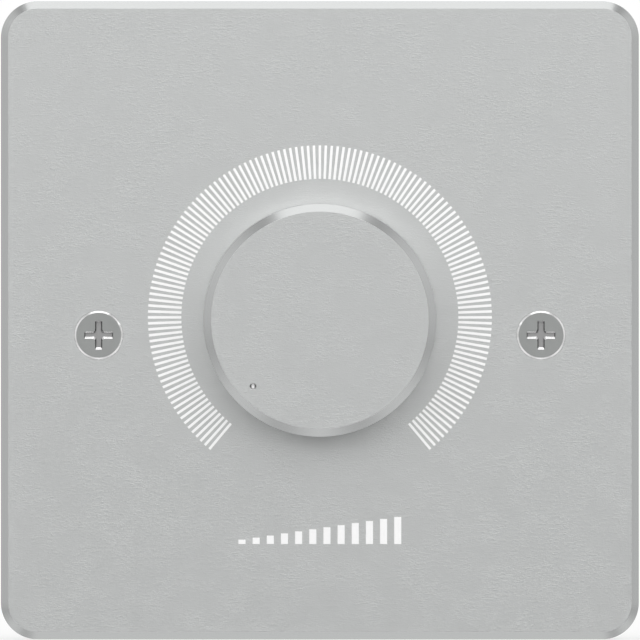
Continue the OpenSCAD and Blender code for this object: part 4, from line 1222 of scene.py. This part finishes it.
poles, pin_lefts = (sorted(left for left, _ in places) for places in (tongues, pins))
(r_1, r_low), (_, r_high), (r_2, _), _ = resistor_holes
(d_1, d_low), (_, d_high), (d_2, _), _ = diode_holes
cap_1, cap_2 = cap_leads
pin_1, pin_2, pin_3 = ((left, pin_up) for left in pin_lefts)
pole_1, pole_2, pole_3 = ((left, tongue_up) for left in poles)
outer_r, outer_d = min(r_1, r_2), max(d_1, d_2)
signals = [
    [pin_1, cap_1], [pin_3, cap_2], [pin_2, pole_2],
    [cap_1, (-2.5, cap_up - 2.4), (poles[0], cap_up - 5.0), pole_1],
    [cap_2, (2.5, cap_up - 2.4), (poles[2], cap_up - 5.0), pole_3],
    [(r_1, r_low), (r_2, r_low)], [(r_1, r_high), (r_2, r_high)],
    [(outer_r, r_low), (outer_r, -16.6), (poles[2] + 1.2, tongue_up), pole_3],
    [(outer_r, r_high), (6.0, r_high), (pin_lefts[2], -6.2), pin_3],
    [(d_1, d_low), (d_2, d_low)], [(d_1, d_high), (d_2, d_high)],
    [(outer_d, d_low), (outer_d, -16.6), (poles[0] - 1.2, tongue_up), pole_1],
    [(outer_d, d_high), (-5.6, d_high), (pin_lefts[0], -6.6), pin_1],
]
earth = mirrored(
    [(leg_reach, 0), (leg_reach, 5), (9.6, 9.5), (15.5, 9.5)],
    [(9.2, 4.6), (9.2, 1.2), (16.6, -1.2), (16.6, -3.2)],
    [(7.6, 8.4), (4.8, 11.2), (2.2, 11.2)],
) + [[(-2.2, 11.2), (2.2, 11.2)]]
traces = [ribbon(path, TRACE_W, TRACE_LOW, COPPER) for path in signals]
traces += [ribbon(path, EARTH_W, TRACE_LOW, COPPER) for path in earth]
lay("board_traces", traces, "trace_mask")
print("traces", len(traces))

# %% [markdown]
# ## Legend
# The white print on the board outlines each part, marks the potentiometer's ring and middle, and numbers
# the three poles. It is thin ribbons again, and the digits are filled letters given a thickness.

# %% Legend
INK_W, INK_TOP, DIGIT_UP, DIGIT_SIZE, RING_R, TICK = 0.18, 0.06, -17.1, 1.9, 6.6, (1.0, 2.4)
RESISTOR_PRINT, DIODE_PRINT, CATHODE_UP, PRINT_GAP, PRINT_CORNER = (1.5, 3.6), (1.25, 2.4), 1.7, 0.35, 0.3


def inked(path, corner=0.6):
    """A line of print along a path."""
    return ribbon(path, INK_W, 0, INK_TOP, corner)


def outline(left, up, half_left, half_up):
    """A closed rectangle of print with rounded corners."""
    box = [(left, up - half_up), (left + half_left, up - half_up), (left + half_left, up + half_up),
           (left - half_left, up + half_up), (left - half_left, up - half_up), (left, up - half_up)]
    return inked(box, PRINT_CORNER)


def digit(text, place):
    """A printed digit as a flat solid, read from behind the board."""
    curve = bpy.data.curves.new("digit", "FONT")
    curve.body, curve.size, curve.extrude = text, DIGIT_SIZE, INK_TOP / 2
    curve.align_x, curve.align_y = "CENTER", "CENTER"
    holder = bpy.data.objects.new("digit", curve)
    bpy.context.collection.objects.link(holder)
    mesh = bpy.data.meshes.new_from_object(holder.evaluated_get(bpy.context.evaluated_depsgraph_get()))
    part = points_of(mesh) + (*place, INK_TOP / 2), [list(face.vertices) for face in mesh.polygons]
    bpy.data.objects.remove(holder)
    bpy.data.curves.remove(curve)
    bpy.data.meshes.remove(mesh)
    return part


marks = [outline(*place, *RESISTOR_PRINT) for place in resistors]
marks += [outline(*place, *DIODE_PRINT) for place in diodes]
marks += [inked([(left + side * DIODE_PRINT[0], up + CATHODE_UP) for side in (-1, 1)]) for left, up in diodes]
marks += [outline(cap_left, cap_up, half_cap[0] + PRINT_GAP, half_cap[1] + PRINT_GAP)]
marks += [digit(str(index + 1), (left, DIGIT_UP)) for index, left in enumerate(reversed(poles))]
turn = np.linspace(np.pi / 2, 5 * np.pi / 2, 65)
marks += [inked(RING_R * np.stack([np.cos(turn), np.sin(turn)], 1), None)]
marks += [inked(path) for path in mirrored([(TICK[0], 0), (TICK[1], 0)])]
marks += [inked([(0, side * TICK[0]), (0, side * TICK[1])]) for side in (-1, 1)]
lay("board_legend", marks, "board_legend")
print("legend marks", len(marks))

# %% [markdown]
# ## Pieces with broken edges
# No real edge is perfectly sharp. The remaining pieces keep the construction's shapes and get a small
# bevel on every sharp edge, between 0.03 and 0.15 mm wide, with shading that keeps their faces flat. The
# terminal is moulded from one block per pole, so shallow grooves mark where the blocks meet.

# %% Softened pieces
GROOVE = 0.28 * MM
SOFT = {
    "pot_frame": 0.08, "pot_bushing": 0.06, "pot_housing": 0.1, "pot_nut": 0.15, "pot_washer": 0.06,
    "pot_terminals": 0.04, "pot_clip": 0.05, "pot_rotor": 0.06, "pot_wiper": 0.03, "pot_track": 0.04,
    "pot_shaft": 0.08, "knob_set_screw": 0.06, "circuit_board": 0.05, "board_standoffs": 0.12,
    "board_washers": 0.06, "terminal_housing": 0.1, "terminal_tongues": 0.05,
    "clamp_cage_1": 0.06, "clamp_cage_2": 0.06, "clamp_cage_3": 0.06,
    "clamp_screw_1": 0.1, "clamp_screw_2": 0.1, "clamp_screw_3": 0.1,
}


def pole_grooves():
    """Cutters for the grooves between the poles: an L goes up the terminal's back and over its top."""
    low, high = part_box("terminal_housing")
    back, over, front = high.y - GROOVE, high.z + MM, board_high.y + MM
    bend = [(back, low.z - MM), (high.y + MM, low.z - MM), (high.y + MM, over), (front, over),
            (front, high.z - GROOVE), (back, high.z - GROOVE)]
    middle = (poles[2] - poles[1]) / 2 * MM
    grooves = [lofted([bend, bend], [x - GROOVE / 2, x + GROOVE / 2]) for x in (-middle, middle)]
    return [(points[:, [2, 0, 1]], faces) for points, faces in grooves]


for node, width in SOFT.items():
    material = "board_screw_steel" if "screw_" in node else "pin_tin" if "washers" in node else slot_of[node]
    softened(node, material, width, pole_grooves() if node == "terminal_housing" else ())
for node in ("scale_marks", "level_mark"):
    slots = frame["nodes"][node].data.materials
    for index in range(len(slots)):
        slots[index] = made_of["white_ink"]
print("softened", len(SOFT), "pieces")
